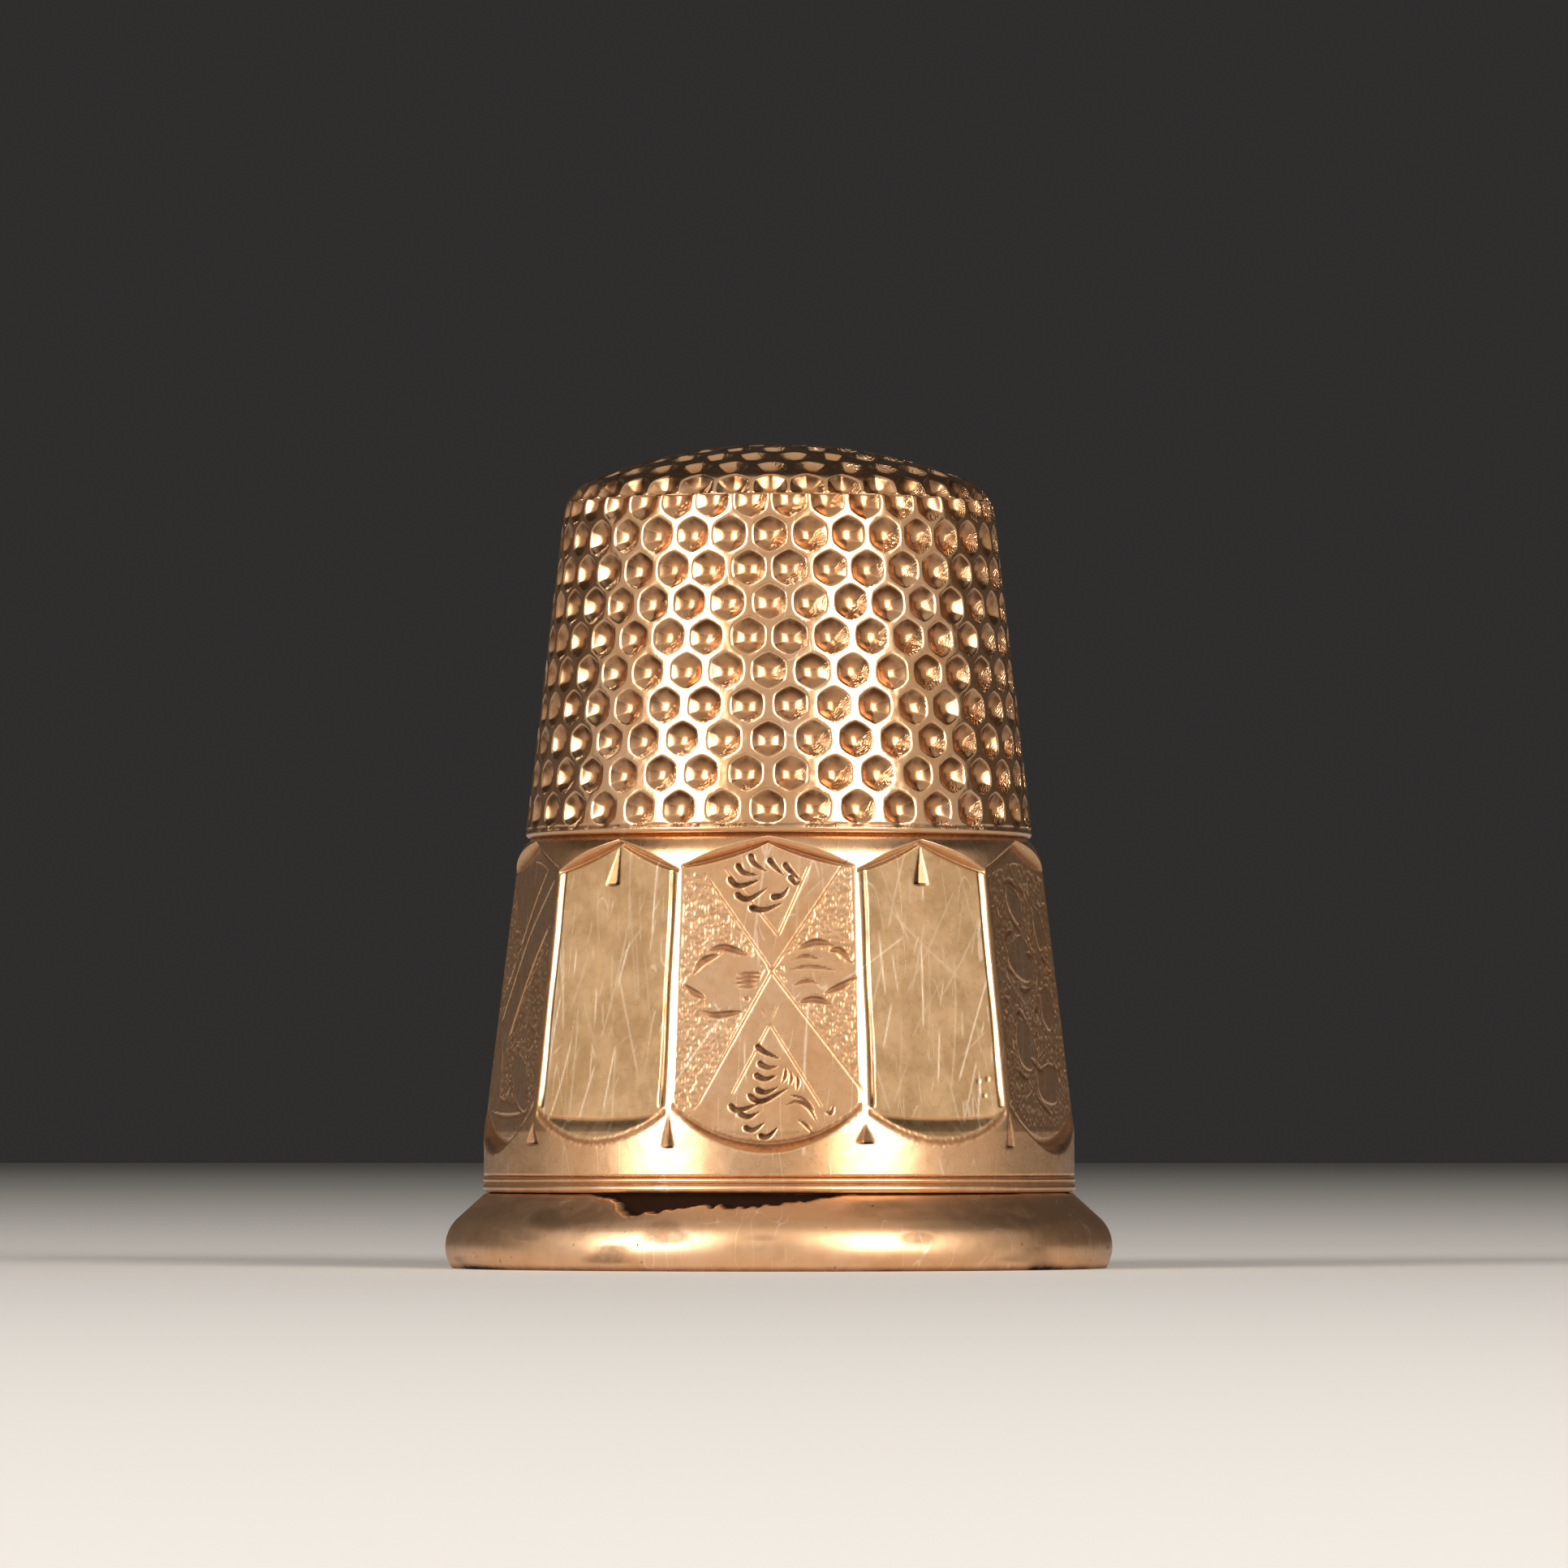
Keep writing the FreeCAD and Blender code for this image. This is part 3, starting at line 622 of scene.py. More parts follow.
COMMAS = [
    [(-0.46, 10.48), (-0.36, 10.23), (0.00, 10.01)],
    [(-0.79, 10.23), (-0.63, 10.00), (-0.22, 9.92)],
    [(-1.01, 9.88), (-0.74, 9.66), (-0.18, 9.82)],
    [(-0.84, 9.48), (-0.51, 9.32), (-0.01, 9.61)],
    [(-0.49, 9.11), (-0.09, 9.06), (0.37, 9.23)],
    [(0.00, 10.36), (0.16, 10.15), (0.41, 9.92)],
    [(0.39, 10.24), (0.53, 10.06), (0.82, 9.81)],
    [(0.53, 9.92), (0.70, 9.71), (0.82, 9.78)],
    [(0.07, 9.36), (0.37, 9.43), (0.53, 9.65)],
    [(-0.30, 5.66), (-0.05, 5.48), (0.35, 5.31)],
    [(-0.24, 5.23), (0.00, 5.10), (0.28, 5.13)],
    [(-0.32, 4.92), (-0.05, 4.81), (0.26, 4.90)],
    [(-0.30, 4.56), (-0.03, 4.47), (0.29, 4.61)],
    [(-0.49, 4.42), (-0.13, 4.25), (0.57, 4.60)],
    [(-0.95, 4.18), (-0.72, 4.02), (-0.18, 4.20)],
    [(-0.74, 3.98), (-0.47, 3.86), (-0.18, 3.99)],
    [(-0.59, 3.61), (-0.34, 3.53), (-0.05, 3.72)],
    [(-0.22, 3.39), (0.03, 3.36), (0.28, 3.61)],
]
FINE_COMMAS = [
    [(0.37, 4.69), (0.47, 4.90), (0.46, 5.11)],
    [(0.57, 4.63), (0.62, 4.83), (0.58, 5.00)],
    [(0.75, 4.52), (0.79, 4.73), (0.74, 4.90)],
    [(0.42, 4.13), (0.74, 4.24), (1.03, 4.11), (1.29, 3.69)],
    [(0.58, 4.40), (0.91, 4.31), (1.22, 4.00)],
    [(0.78, 3.79), (0.99, 3.65), (1.17, 3.43)],
    [(1.45, 3.98), (1.62, 3.95), (1.68, 4.15)],
]
CROSSED = {
    "cuts": STRAPS
    + [(c, 0.125, 0.07, "leaf", 0.3, 1.0, 0.6) for c in LEAF_CUTS]
    + [(c, 0.066, 0.04, "leaf", 0.2, 0.9, 0.6) for c in HATCH]
    + [(c, 0.115, 0.085, "comma", 0.1, 1.0, 0.85) for c in COMMAS]
    + [(c, 0.062, 0.05, "leaf", 0.1, 0.9, 0.75) for c in FINE_COMMAS],
    "ground": [
        [(-2.45, 10.0), (-1.59, 9.96), (-0.05, 7.56), (-1.82, 4.02), (-2.55, 4.1)],
        [(2.03, 10.40), (2.50, 10.2), (2.70, 4.5), (2.49, 4.40), (0.20, 7.56)],
    ],
    "plain": [
        [(-0.13, 7.81), (-0.51, 7.91), (-1.09, 7.98), (-1.59, 7.73), (-2.09, 7.25)]
        + [(-1.80, 6.94), (-1.30, 6.61), (-0.59, 6.56), (-0.30, 6.98)],
        [(0.37, 7.90), (0.78, 8.02), (1.45, 8.06), (1.87, 7.81), (2.20, 7.42)]
        + [(1.87, 7.15), (1.45, 6.90), (0.95, 6.69), (0.53, 7.02)],
    ],
}
SCROLL_LEAVES = [
    [(-0.77, 9.81), (-0.02, 9.56), (0.20, 9.15), (-0.17, 8.74), (-0.67, 9.03), (-0.89, 9.44)],
    [(-0.92, 8.24), (-0.03, 8.45), (0.62, 7.91), (0.19, 7.29), (-0.72, 7.42), (-1.29, 7.83)],
    [(-1.07, 6.35), (-0.29, 6.18), (0.08, 5.52), (-0.43, 5.03), (-1.19, 5.23), (-1.35, 5.85)],
    [(0.04, 5.03), (1.15, 5.19), (1.58, 4.70), (1.19, 4.20), (0.26, 4.24), (-0.10, 4.61)],
    [(1.05, 9.30), (1.62, 9.00), (1.70, 8.35), (1.30, 8.10), (1.02, 8.60)],
    [(0.85, 7.05), (1.60, 7.20), (1.85, 6.60), (1.40, 6.05), (0.90, 6.35)],
]
SCROLL_CUTS = [
    [(-1.01, 9.79), (-0.41, 9.83), (0.12, 9.65)],
    [(0.06, 9.81), (0.46, 9.60), (0.70, 9.23)],
    [(1.20, 10.06), (1.48, 9.81)],
    [(-0.86, 9.15), (-0.50, 8.82), (0.00, 8.55)],
    [(-1.38, 8.28), (-1.08, 8.49), (-0.58, 8.57)],
    [(0.42, 8.74), (0.68, 8.45)],
    [(0.18, 8.00), (0.64, 7.95)],
    [(-1.46, 7.67), (-0.93, 7.48)],
    [(-0.68, 7.17), (-0.20, 7.05), (0.25, 7.13)],
    [(1.44, 7.17), (1.59, 7.09)],
    [(0.28, 6.51), (0.55, 6.60), (0.75, 6.84)],
    [(-1.16, 6.43), (-0.78, 6.51), (-0.39, 6.26)],
    [(-0.44, 5.36), (0.17, 5.07), (0.51, 5.03)],
    [(-1.48, 5.07), (-1.10, 4.88), (-0.74, 4.82)],
    [(-0.29, 4.37), (0.53, 3.99), (0.83, 3.83)],
    [(1.29, 5.23), (1.57, 5.03)],
    [(1.30, 8.00), (1.62, 7.80)],
    [(-1.75, 9.2), (-1.55, 8.9)],
    [(-1.85, 6.9), (-1.55, 6.75)],
    [(-1.70, 5.9), (-1.62, 5.5)],
]
STEM = [(0.9, 10.1), (0.75, 9.3), (0.35, 8.7), (0.85, 7.7), (0.55, 6.9), (0.45, 6.2), (0.2, 5.4)]
STEM += [(-0.4, 4.6), (-1.1, 4.3)]
SCROLL_GROUND = [(-2.3, 9.9), (-0.4, 10.3), (0.4, 10.3), (2.3, 9.9)]
SCROLL_GROUND += [(2.55, 4.2), (1.2, 3.6), (-1.2, 3.6), (-2.55, 4.2)]
SCROLLS = {
    "cuts": [(c, 0.105, 0.065, "leaf", 0.2, 1.0, 0.8) for c in SCROLL_CUTS]
    + [(leaf + leaf[:1], 0.035, 0.035, "line", 0.3, 0.6, 0.25) for leaf in SCROLL_LEAVES]
    + [(STEM, 0.045, 0.04, "line", 0.2, 0.5, 0.1)],
    "ground": [SCROLL_GROUND],
    "plain": SCROLL_LEAVES,
}
RIBBON_LEAF = [(-0.16, 5.44), (0.82, 5.31), (1.60, 4.61), (1.71, 3.99), (0.69, 4.20), (-0.18, 4.94)]
RIBBONS = {
    "cuts": [
        ([(1.84, 8.66), (0.49, 7.50), (-0.97, 5.85)], 0.04, 0.045, "line", 0.3, 0.6, 0.2),
        ([(1.61, 8.12), (0.36, 7.09), (-0.53, 6.26)], 0.035, 0.04, "line", 0.3, 0.6, 0.2),
        ([(2.0, 9.9), (0.63, 8.94), (-0.27, 8.16), (-1.9, 6.2)], 0.035, 0.04, "line", -0.3, 0.5, 0.1),
        ([(1.2, 10.2), (0.1, 9.2), (-1.3, 7.6), (-2.2, 6.7)], 0.035, 0.04, "line", -0.3, 0.5, 0.1),
        ([(-2.0, 9.9), (-1.2, 8.9), (-0.7, 8.1)], 0.035, 0.04, "line", 0.3, 0.5, 0.1),
        ([(-0.10, 5.64), (0.40, 5.56)], 0.09, 0.065, "leaf", 0.2, 1.0, 0.6),
        ([(-1.62, 8.57), (-1.05, 8.53)], 0.09, 0.065, "leaf", 0.2, 1.0, 0.6),
        ([(1.60, 7.09), (1.87, 7.01)], 0.07, 0.05, "leaf", 0.2, 0.9, 0.5),
        ([(-1.25, 4.37), (-0.85, 4.25), (-0.45, 4.32)], 0.09, 0.065, "leaf", 0.2, 1.0, 0.6),
        ([(-1.93, 3.99), (-0.17, 3.88), (1.77, 3.97)], 0.05, 0.05, "leaf", 0.2, 0.7, 0.3),
        ([(-0.35, 10.37), (1.12, 10.11)], 0.07, 0.06, "leaf", 0.2, 0.8, 0.3),
        ([(-1.7, 5.9), (-1.35, 5.4), (-1.3, 4.8)], 0.08, 0.06, "leaf", 0.2, 0.9, 0.6),
        ([(0.9, 6.5), (1.3, 6.1), (1.9, 6.0)], 0.08, 0.06, "leaf", 0.2, 0.9, 0.6),
        (RIBBON_LEAF + RIBBON_LEAF[:1], 0.03, 0.035, "line", 0.3, 0.5, 0.2),
    ],
    "ground": [
        [(2.4, 8.9), (1.84, 8.66), (0.49, 7.50), (-0.97, 5.85), (-1.2, 4.4), (1.9, 3.9), (2.6, 4.4)],
        [(-2.3, 9.9), (-1.2, 8.9), (-0.7, 8.1), (-1.9, 6.4), (-2.4, 6.2)],
    ],
    "plain": [RIBBON_LEAF],
}
DESIGNS = (CROSSED, SCROLLS, CROSSED, SCROLLS, RIBBONS)  # for the wide panels, from the front towards +X


# ---- band

PANELS = 10
WIDE_DEPTH, NARROW_DEPTH = 0.36, 0.28
WIDE_COLUMNS, NARROW_COLUMNS = 156, 104
FOOT_ARC = 3.4  # radius of a wide panel's foot
RUN_OUT = 0.46  # slope at which a milled flat runs out at its foot
# the wedge under each plain panel's peak: its base's left and right ends, its valley, and its side painted in
# shade
CHIPS = (
    (-0.29, 0.20, -0.07, -1),
    (-0.26, 0.22, 0.05, 1),
    (-0.33, 0.14, -0.1, 1),
    (-0.2, 0.27, 0.1, -1),
    (-0.42, 0.07, -0.12, 1),
)
PITTED_PANEL, PITS = 1, ((1.30, 4.76), (1.58, 4.82), (1.45, 4.40))
# the ticks at the ridges' feet, small and tall: top, base, half the base's width
TICKS = ((3.74, 3.18, 0.29), (4.02, 3.08, 0.19))
RIDGES = (19.1, 16.9)  # degrees from the middle of a wide and of a narrow panel to its ridge


def cone_r(z):
    return BAND_R - np.maximum(z - LAND_TOP, 0) * BAND_SLOPE


def no_marks(shape):
    return {key: np.zeros(shape) for key in ("depth", "cavity_and_shade", "dirt_and_shade")}


def band_columns():
    """Angles of the band's columns, closer together over the engraved panels."""
    half = math.radians(19.8)
    wide = np.linspace(-half, half, WIDE_COLUMNS, endpoint=False)
    narrow = np.linspace(half, TAU / 5 - half, NARROW_COLUMNS, endpoint=False)
    one = np.concatenate([wide, narrow])
    return np.concatenate([one + TAU / 5 * k for k in range(5)])


def band_profile():
    """(r, z) points of the outside, from the wire up to the top, and of the inside, from the top down."""
    # the shoulder's round runs from the cone to the top edge
    low, high_ = np.array((cone_r(BAND_TOP - 0.75), BAND_TOP - 0.75)), np.array((SPIGOT_R + 0.13, BAND_TOP))
    chord = high_ - low
    length = math.hypot(*chord)
    aside = np.array([-chord[1], chord[0]]) / length
    centre = (low + high_) / 2 + aside * math.sqrt(ROUND**2 - length**2 / 4)
    start, end = (math.atan2(point[1] - centre[1], point[0] - centre[0]) for point in (low, high_))
    foot = [(BAND_R - 0.05, WIRE_TOP), (BAND_R, WIRE_TOP + 0.05), (BAND_R, LAND_TOP)]
    inner = [
        (SPIGOT_R, BAND_TOP),
        (SPIGOT_R, SPIGOT_LOW),
        (float(bore(SPIGOT_LOW)), SPIGOT_LOW),
        (float(bore(7.0)), 7.0),
        (float(bore(4.0)), 4.0),
        (MOUTH_R, MOUTH_LAND),
        (MOUTH_R, 0.12),
        (MOUTH_R + 0.08, 0.0),
        (SEAT_R - 0.05, 0.0),
        (SEAT_R, 0.05),
        (SEAT_R, WIRE_TOP),
    ]
    return resample([*foot, *arc(centre, ROUND, start, end, 12)], 0.035), np.array(inner)


def mark_wide_panel(number, x, z, p, marks, inside):
    """The design of an engraved panel, and the stippled ground between its figures."""
    design = DESIGNS[number // 2]
    for cut in design["cuts"]:
        engrave(x, z, marks, *cut)
    ground = np.zeros(x.shape, bool)
    for corners in design["ground"]:
        ground |= within(x, z, corners)
    for corners in design["plain"]:
        ground &= ~within(x, z, smooth_path([*corners, corners[0]]))
    ground &= inside
    speck = noise(p, 0.066, 31 + number) + 0.35 * noise(p, 0.19, 47 + number)
    marks["depth"] += np.where(ground & (marks["cavity_and_shade"] < 0.3), 0.019 * speck + 0.010, 0)
    raise_to(marks, "cavity_and_shade", np.where(ground, np.clip(0.25 + speck * 0.7, 0, 0.8), 0))
    if design is not CROSSED:
        raise_to(marks, "dirt_and_shade", np.where(ground, np.clip(0.12 + 0.2 * speck, 0, 0.4), 0))


def mark_narrow_panel(number, x, z, marks, peak, edge_x):
    """The wedge, pits and side cuts of a plain panel."""
    left, right, valley, shaded_side = CHIPS[number // 2]
    chip(x, z, marks, peak, BAND_TOP - 1.30, left, right, valley, 0.10, 0.6, 0.9, shaded_side)
    if number == PITTED_PANEL:
        for pit_x, pit_z in PITS:
            pit = np.clip(1 - np.hypot(x - pit_x, z - pit_z) / 0.07, 0, 1)
            marks["depth"] += 0.04 * pit
            raise_to(marks, "dirt_and_shade", np.clip(pit * 1.6, 0, 0.7))
    # a cut down each side: a low wall inside, a broad bevel up to the ridge
    broad, end = smooth(7.5, 4.2, z), smooth(4.7, 4.2, z)
    reach = smooth(4.08, 4.16, z) * (1 - smooth(BAND_TOP - 1.05, BAND_TOP - 0.85, z))
    for sign in (-1, 1):
        line_x = sign * (edge_x - 0.10 + 0.012 * np.sin(z * 1.9 + number + sign))
        off = (x - line_x) * sign / (0.085 + 0.025 * broad)
        v = np.clip(np.where(off < -0.55, (1 + off) / 0.45, (1 - off) / 1.55), 0, 1)
        raise_to(marks, "depth", v * reach * (0.045 + 0.02 * broad))
        raise_to(marks, "cavity_and_shade", np.clip(v * 1.6 - 0.8, 0, 1) * reach)
        raise_to(marks, "dirt_and_shade", np.clip(v * 3 - 2 + end, 0, 1) * reach * (0.4 + 0.5 * end))


def carve_panel(number, turn, z, r):
    """One panel, for points at an angle from its middle: the radius cut to, the marks, the inside of its
    outline, the same well within its sides, and its scratches."""
    wide = number % 2 == 0
    depth = WIDE_DEPTH if wide else NARROW_DEPTH
    flat = (cone_r(z) - depth) / np.cos(turn)
    x = flat * np.sin(turn)
    edge_x = (cone_r(z) - depth) * math.tan(math.acos(1 - depth / 7.1))
    # the head is two arcs that meet in a peak; the foot is an arc, or the run-out of a milled flat
    drop = 0.88 if wide else 1.02
    peak = BAND_TOP - (0.22 if wide else 0.24)
    t = np.clip(np.abs(x) / 2.2, 0, 1)
    head = peak - (drop - 0.24) * t - 0.22 * t * (1 - t)
    if wide:
        foot = 3.18 + FOOT_ARC - np.sqrt(np.maximum(FOOT_ARC**2 - x**2, 0.01))
        cut = flat + np.maximum(foot - z, 0) * 1.5
    else:
        line = 3.84 + 0.03 * x**2
        foot = line - (r - flat) / RUN_OUT
        under = np.maximum(line - z, 0)
        cut = flat + under * RUN_OUT * smooth(-0.2, 0.25, under)
    cut = cut + np.maximum(z - head, 0) * 0.9
    inside = (z > foot) & (z < head)
    marks = no_marks(x.shape)
    p = ring_points(r, turn + number * TAU / PANELS, z)
    if wide:
        mark_wide_panel(number, x, z, p, marks, inside & (np.abs(x) < edge_x - 0.06))
    else:
        mark_narrow_panel(number, x, z, marks, peak, edge_x)
    # bright-cut crescents under the head's arcs, and a line round the foot's arc
    swell = np.sin(math.pi * np.clip((np.abs(x) + 0.05) / (edge_x + 0.12), 0.02, 0.98)) ** 0.6
    off = (z - head) / (0.078 * swell + 0.01)
    v = np.clip(1.2 - np.abs(off - 0.1), 0, 1) * (np.abs(x) < edge_x + 0.05)
    raise_to(marks, "depth", 0.075 * v)
    raise_to(marks, "cavity_and_shade", v * (0.9 if wide else 0.6))
    raise_to(marks, "dirt_and_shade", v * (0.5 if wide else 0.35))
    off = (z - foot + 0.01) / (0.11 if wide else 0.095) + 0.25 * noise(p, 0.06, 71)
    v = np.clip(1.3 - np.abs(off), 0, 1) * (np.abs(x) < edge_x)
    raise_to(marks, "depth", 0.035 * v)
    raise_to(marks, "cavity_and_shade", v)
    raise_to(marks, "dirt_and_shade", v * 0.6)
    if not wide:
        # painted shade: a dull dark line where the milled flat ends and bends into its run-out
        v = np.exp(-(((z - line + 0.03) / 0.045) ** 2)) * (z > foot + 0.05) * (np.abs(x) < edge_x - 0.25)
        raise_to(marks, "cavity_and_shade", v)
        raise_to(marks, "dirt_and_shade", v * 0.22)
    worn = scratched(x, z, 90 + number, 14 if wide else 46) * inside
    return np.minimum(cut, r) - marks["depth"], marks, inside & (np.abs(x) < edge_x - 0.05), worn


def make_band():
    theta = band_columns()
    outer, inner = band_profile()
    r, th, z = turned(outer, theta)
    cavity_and_shade, dirt_and_shade, plain_face, scratches = (np.zeros(th.shape) for _ in range(4))
    surface = r.copy()
    for number in range(PANELS):
        turn = (theta - number * TAU / PANELS + math.pi) % TAU - math.pi
        near = np.nonzero(np.abs(turn) < math.radians(21.5))[0]
        carved, marks, face, worn = carve_panel(number, turn[near] + 0 * z[:, near], z[:, near], r[:, near])
        take = carved < surface[:, near] - 1e-5
        surface[:, near] = np.where(take, carved, surface[:, near])
        if number % 2:
            plain_face[:, near] = np.maximum(plain_face[:, near], take & face)
        scratches[:, near] = np.maximum(scratches[:, near], worn)
        shown = take | (marks["cavity_and_shade"] > 0.02)
        cavity_and_shade[:, near] = np.maximum(cavity_and_shade[:, near], marks["cavity_and_shade"] * shown)
        dirt_and_shade[:, near] = np.maximum(dirt_and_shade[:, near], marks["dirt_and_shade"] * shown)
    # a punched tick at the foot of every ridge, one face painted in shade
    for number in range(PANELS):
        ridge = math.radians(360 / PANELS * number + RIDGES[number % 2])
        x = ((th - ridge + math.pi) % TAU - math.pi) * BAND_R
        marks = no_marks(x.shape)
        top, base, half = TICKS[number % 2]
        chip(np.where(np.abs(x) < 1, x, FAR), z, marks, top, base, -half, half, -0.04, 0.10, 0.6, 0.7, 1)
        surface = surface - marks["depth"]
        cavity_and_shade = np.maximum(cavity_and_shade, marks["cavity_and_shade"])
        dirt_and_shade = np.maximum(dirt_and_shade, marks["dirt_and_shade"])
    p = ring_points(surface, th, z)
    surface = surface - 0.004 * noise(p, 1.4, 61) - 0.0015 * noise(p, 0.3, 62)
    p = ring_points(surface, th, z)
    points = np.concatenate([p.reshape(-1, 3), ring_points(*turned(inner, theta)).reshape(-1, 3)])
    # painted shade: the sleeve under the wire and rim, seen through the rim's gap, is painted dark
    shaded_sleeve = (inner[:, :1] > SEAT_R - 0.01) * np.ones((1, len(theta)))
    pairs = {
        "cavity_and_shade": (cavity_and_shade, shaded_sleeve),
        "dirt_and_shade": (dirt_and_shade, shaded_sleeve),
        "plain": (plain_face, 0 * shaded_sleeve),
        "scratches": (scratches, 0 * shaded_sleeve),
    }
    values = {key: np.concatenate([a.ravel(), b.ravel()]) for key, (a, b) in pairs.items()}
    quads = grid_quads(len(outer) + len(inner), len(theta), loop=True)
    return mesh_object("panelled_band", points, quads, values)


# ---- gold

SCRATCH_GLINT = (1.0, 0.87, 0.70, 1)  # pale colour of scratch wear, lightened as a painted glint
LODGED_DIRT_AND_SHADE = (0.028, 0.012, 0.007, 1)
# brown patina in the dimples, also painted as shade on their upper walls
BROWN_AND_SHADE = (0.14, 0.058, 0.024, 1)


def tinted(tone, red, green, blue):
    return (tone[0] * red, tone[1] * green, tone[2] * blue, 1)


def gold(name, tone, rough, dimples=False):
    """Worn gold. The meshes' own numbers say where it has hollows and grime, where shade is painted on, and
    where it is milled plain or scratched.
    """
    material = bpy.data.materials.new(name)
    material.use_nodes = True
    nodes, links = material.node_tree.nodes, material.node_tree.links
    nodes.clear()

    def node(kind, **settings):
        made = nodes.new(kind)
        for key, value in settings.items():
            setattr(made, key, value)
        return made

    def put(target, source):
        if isinstance(source, (int, float, tuple, list)):
            target.default_value = source
        else:
            links.new(source, target)

    def combine(operation, a, b=0.0, clamp=False):
        made = node("ShaderNodeMath", operation=operation, use_clamp=clamp)
        put(made.inputs[0], a)
        put(made.inputs[1], b)
        return made.outputs[0]

    def plus(a, b):
        return combine("ADD", a, b)

    def times(a, b, clamp=False):
        return combine("MULTIPLY", a, b, clamp)

    def mixed(factor, a, b):
        made = node("ShaderNodeMix", data_type="RGBA")
        put(made.inputs[0], factor)
        put(made.inputs[6], a)
        put(made.inputs[7], b)
        return made.outputs[2]

    def noise_node(vector, scale, detail=3.0, roughness=0.55):
        made = node("ShaderNodeTexNoise")
        put(made.inputs["Vector"], vector)
        made.inputs["Scale"].default_value = scale
        made.inputs["Detail"].default_value = detail
        made.inputs["Roughness"].default_value = roughness
        return made.outputs["Fac"]

    def stretched(scale, rotation):
        made = node("ShaderNodeMapping")
        put(made.inputs["Vector"], coords)
        made.inputs["Scale"].default_value = scale
        made.inputs["Rotation"].default_value = rotation
        return made.outputs[0]

    def ramp(value, from_min, from_max):
        made = node("ShaderNodeMapRange", interpolation_type="SMOOTHSTEP")
        put(made.inputs["Value"], value)
        made.inputs["From Min"].default_value = from_min
        made.inputs["From Max"].default_value = from_max
        return made.outputs["Result"]

    def attribute(key):
        return node("ShaderNodeAttribute", attribute_name=key).outputs["Fac"]

    def scratch(scale, rotation, size, width):
        """Thin lines where a stretched noise passes its middle value."""
        value = noise_node(stretched(scale, rotation), size, 0.0, 0.4)
        off = combine("ABSOLUTE", combine("SUBTRACT", value, 0.5))
        return combine("SUBTRACT", 1.0, ramp(off, 0.0, width))

    def broken(value, size, start):
        return times(value, ramp(noise_node(coords, size, 1.0), start, start + 0.05))

    texture = node("ShaderNodeTexCoord")
    to_mm = node("ShaderNodeVectorMath", operation="SCALE")
    links.new(texture.outputs["Object"], to_mm.inputs[0])
    to_mm.inputs["Scale"].default_value = 1 / MM
    coords = to_mm.outputs[0]

    shader = node("ShaderNodeBsdfPrincipled")
    output = node("ShaderNodeOutputMaterial")
    links.new(shader.outputs[0], output.inputs[0])
    shader.inputs["Metallic"].default_value = 1.0

    cavity_and_shade = attribute("cavity_and_shade")
    dirt_and_shade_here = attribute("dirt_and_shade")
    broad = noise_node(coords, 0.35, 2.0)
    fine = noise_node(coords, 5.0, 4.0)
    grime = noise_node(coords, 2.2, 3.0, 0.5)

    # the tone wanders over the piece, and the milled plain faces are duller and cloudy
    base = mixed(ramp(broad, 0.35, 0.65), tone, tinted(tone, 0.97, 0.90, 0.80))
    base = mixed(times(ramp(grime, 0.45, 0.70), 0.35), base, tinted(tone, 0.80, 0.66, 0.52))
    cloud = noise_node(coords, 0.9, 3.0, 0.6)
    clear, dull = tinted(tone, 0.95, 1.0, 0.92), tinted(tone, 0.70, 0.70, 0.58)
    plain_tone = mixed(ramp(cloud, 0.36, 0.64), clear, dull)
    base = mixed(times(attribute("plain"), 0.85), base, plain_tone)

    lines = broken(scratch((1.0, 1.0, 0.10), (0.10, 0.06, 0), 1.6, 0.009), 0.8, 0.52)
    more = broken(scratch((1.0, 1.0, 0.12), (-0.45, 0.5, 0), 1.3, 0.007), 0.9, 0.54)
    lines = times(combine("MAXIMUM", lines, more), 0.45)
    lines = combine("MAXIMUM", lines, attribute("scratches"))
    # scratch wear, lightened as a painted glint
    base = mixed(times(lines, 0.85), base, SCRATCH_GLINT)

    # patina in hollows and lodged dirt darken the gold, and the same numbers carry painted shade
    hollow_and_shade = times(ramp(cavity_and_shade, 0.25, 0.95), plus(0.35, times(grime, 0.7)), clamp=True)
    base = mixed(hollow_and_shade, base, tinted(tone, 0.62, 0.44, 0.30))
    lodged_dirt_and_shade = times(dirt_and_shade_here, plus(0.62, times(fine, 0.75)), clamp=True)
    base = mixed(lodged_dirt_and_shade, base, LODGED_DIRT_AND_SHADE)
    if dimples:
        # brown patina lies in each dimple, heavier in its upper wall as painted shade, and its lower right
        # wall is streaked
        dimple_x, dimple_y = attribute("dimple_x"), attribute("dimple_y")
        away = combine("SQRT", plus(combine("POWER", dimple_x, 2.0), combine("POWER", dimple_y, 2.0)))
        wall = ramp(away, 0.12, 0.36)
        upper = plus(0.25, times(ramp(dimple_y, -0.25, 0.30), 0.75))
        patchy = ramp(noise_node(coords, 1.6, 3.0), 0.30, 0.62)
        brown_and_shade = times(times(wall, upper), ramp(cavity_and_shade, 0.02, 0.2))
        brown_and_shade = times(brown_and_shade, plus(0.35, times(patchy, 0.65)))
        base = mixed(brown_and_shade, base, BROWN_AND_SHADE)
        across = combine("SUBTRACT", times(dimple_x, 0.75), times(dimple_y, 0.65))
        waver = times(noise_node(coords, 3.0, 2.0), 0.35)
        wave = combine("SINE", times(plus(across, waver), 110.0))
        streaks = times(wave, times(ramp(across, 0.08, 0.22), ramp(cavity_and_shade, 0.02, 0.15)))
        streaks = times(streaks, ramp(noise_node(coords, 0.9, 1.0), 0.40, 0.60))
    put(shader.inputs["Base Color"], base)

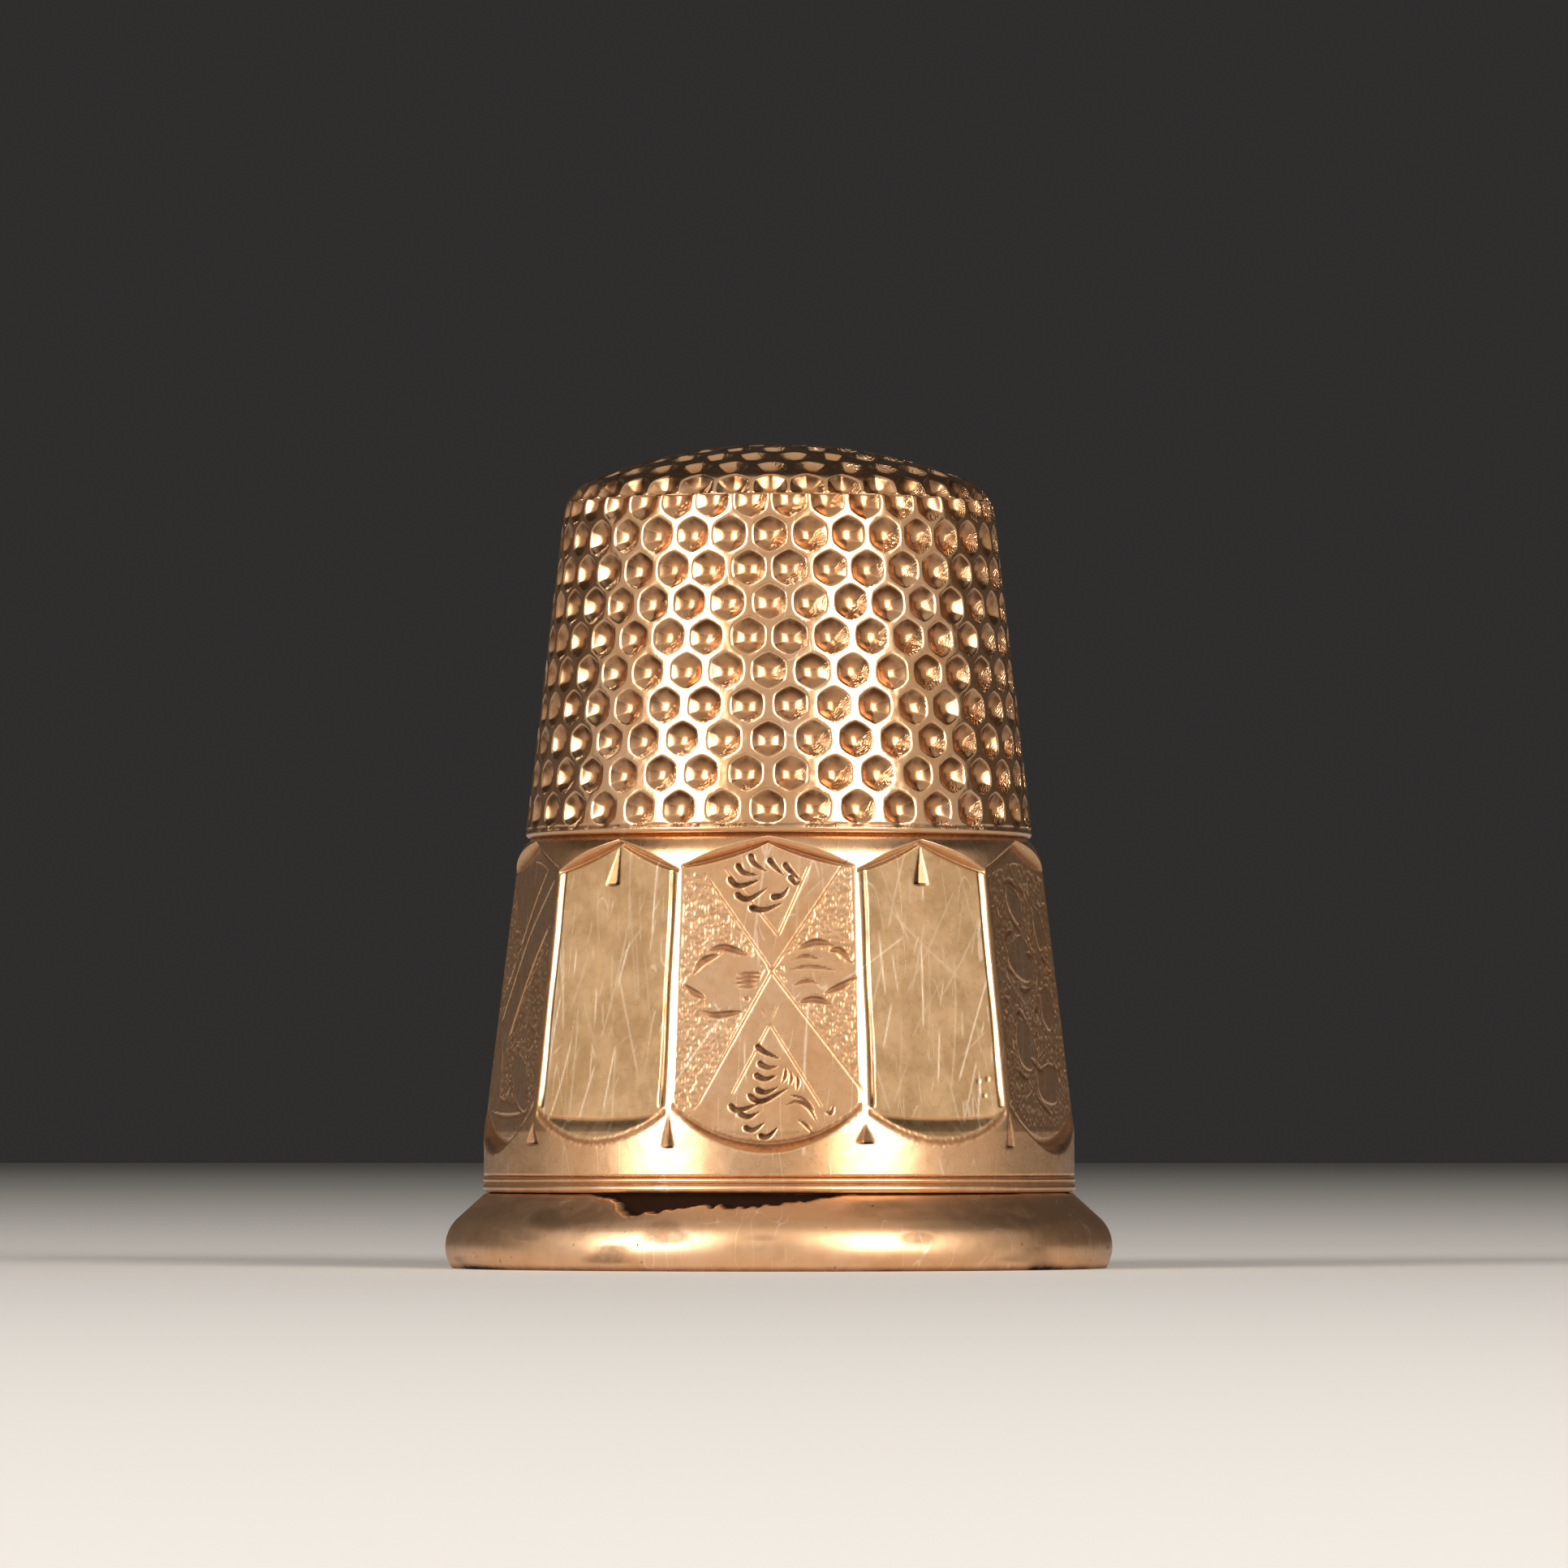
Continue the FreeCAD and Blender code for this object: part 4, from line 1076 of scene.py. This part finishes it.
    roughness = plus(rough, times(fine, 0.10))
    roughness = plus(roughness, times(hollow_and_shade, 0.04 if dimples else 0.16))
    roughness = plus(roughness, times(lodged_dirt_and_shade, 0.30))
    put(shader.inputs["Roughness"], plus(roughness, times(lines, 0.1)))

    # heights in mm
    height = times(lines, -0.0012)
    height = plus(height, times(noise_node(coords, 3.0, 1.0), 0.0035))
    height = plus(height, times(noise_node(coords, 18.0, 1.0), 0.0003))
    if dimples:
        height = plus(height, times(streaks, 0.010))
    bump = node("ShaderNodeBump")
    bump.inputs["Distance"].default_value = MM
    bump.inputs["Strength"].default_value = 1.0
    put(bump.inputs["Height"], height)
    put(shader.inputs["Normal"], bump.outputs[0])
    return material


# ---- pieces

TONE = (0.83, 0.515, 0.30, 1)
RIM_TONE = (0.765, 0.488, 0.298, 1)
dimpled = gold("dimpled_gold", TONE, 0.17, dimples=True)
band_gold = gold("band_gold", TONE, 0.23)
rim_gold = gold("rim_gold", RIM_TONE, 0.29)

for maker, material, node_name, slot_name in (
    (make_crown, dimpled, "crown_cap", "dimpled_gold"),
    (make_wall, dimpled, "knurled_wall", "dimpled_gold"),
    (make_band, band_gold, "panel_band", "band_gold"),
    (make_wire, rim_gold, "foot_wire", "rim_gold"),
    (make_rim, rim_gold, "rim_bead", "rim_gold"),
):
    piece = maker()
    piece.data.materials.append(material)
    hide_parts(node_name)

# ---- floor, light and camera


def plain(name, colour, rough):
    material = bpy.data.materials.new(name)
    material.use_nodes = True
    shader = material.node_tree.nodes["Principled BSDF"]
    shader.inputs["Base Color"].default_value = colour
    shader.inputs["Roughness"].default_value = rough
    return material


bpy.ops.mesh.primitive_plane_add(size=1.6, location=(0, 0.35, 0))
floor = bpy.context.object
floor.name = "floor"
floor.data.materials.append(plain("floor_paint", (0.62, 0.605, 0.585, 1), 0.8))

world = bpy.data.worlds.new("studio")
bpy.context.scene.world = world
world.use_nodes = True
world.node_tree.nodes["Background"].inputs["Color"].default_value = (0.07, 0.067, 0.065, 1)
world.node_tree.nodes["Background"].inputs["Strength"].default_value = 0.4

AIM = Vector((0, 0, 0.011))  # the middle of the thimble, m


def softbox(name, azimuth, elevation, distance, width, height, power, colour):
    """A soft lamp that faces the thimble: degrees, metres and watts."""
    a, e = math.radians(azimuth), math.radians(elevation)
    outward = Vector((math.sin(a) * math.cos(e), -math.cos(a) * math.cos(e), math.sin(e)))
    light = bpy.data.lights.new(name, "AREA")
    light.shape = "RECTANGLE"
    light.size, light.size_y = width, height
    light.energy = power
    light.color = colour
    holder = bpy.data.objects.new(name, light)
    holder.location = outward * distance + AIM
    holder.rotation_mode = "QUATERNION"
    holder.rotation_quaternion = outward.to_track_quat("Z", "Y")
    bpy.context.scene.collection.objects.link(holder)


WARM = (1.0, 0.93, 0.84)
PALE = (1.0, 0.96, 0.92)
RUSSET = (1.0, 0.80, 0.62)
softbox("left_box", -43, 19, 0.45, 0.20, 0.34, 1.95, PALE)
softbox("right_box", 39, 19, 0.45, 0.20, 0.34, 2.0, PALE)
softbox("front_fill", 0, 30, 0.8, 1.3, 0.75, 1.78, WARM)
softbox("left_fill", -75, 18, 0.8, 0.7, 0.6, 0.68, WARM)
softbox("right_fill", 76, 18, 0.8, 0.7, 0.6, 0.62, WARM)
softbox("top_fill", 0, 74, 0.7, 0.9, 0.75, 1.1, WARM)
softbox("left_back", -130, 16, 0.8, 0.7, 0.5, 0.085, RUSSET)
softbox("right_back", 130, 16, 0.8, 0.7, 0.5, 0.06, RUSSET)

SENSOR = 36.0
LENS = 260.87
CAMERA_AZIMUTH = 2.5  # degrees from the front, towards +X
CAMERA_DISTANCE = 291.667  # from the thimble's axis
CAMERA_HEIGHT = 3.375
AIM_RISE = 9.0417  # at the axis, the aim is this much higher than the camera
AIM_SIDE = 0.125  # and this much beside the axis
camera_data = bpy.data.cameras.new("camera")
camera = bpy.data.objects.new("camera", camera_data)
bpy.context.scene.collection.objects.link(camera)
camera_data.sensor_width = SENSOR
camera_data.lens = LENS
camera_data.clip_start, camera_data.clip_end = 0.01, 10.0
azimuth = math.radians(CAMERA_AZIMUTH)
distance = CAMERA_DISTANCE * MM
camera.location = (math.sin(azimuth) * distance, -math.cos(azimuth) * distance, CAMERA_HEIGHT * MM)
tilt = math.atan(AIM_RISE / CAMERA_DISTANCE)
camera.rotation_euler = (math.pi / 2 + tilt, 0, azimuth - AIM_SIDE / CAMERA_DISTANCE)
bpy.context.scene.camera = camera
bpy.context.scene.view_settings.view_transform = "Standard"
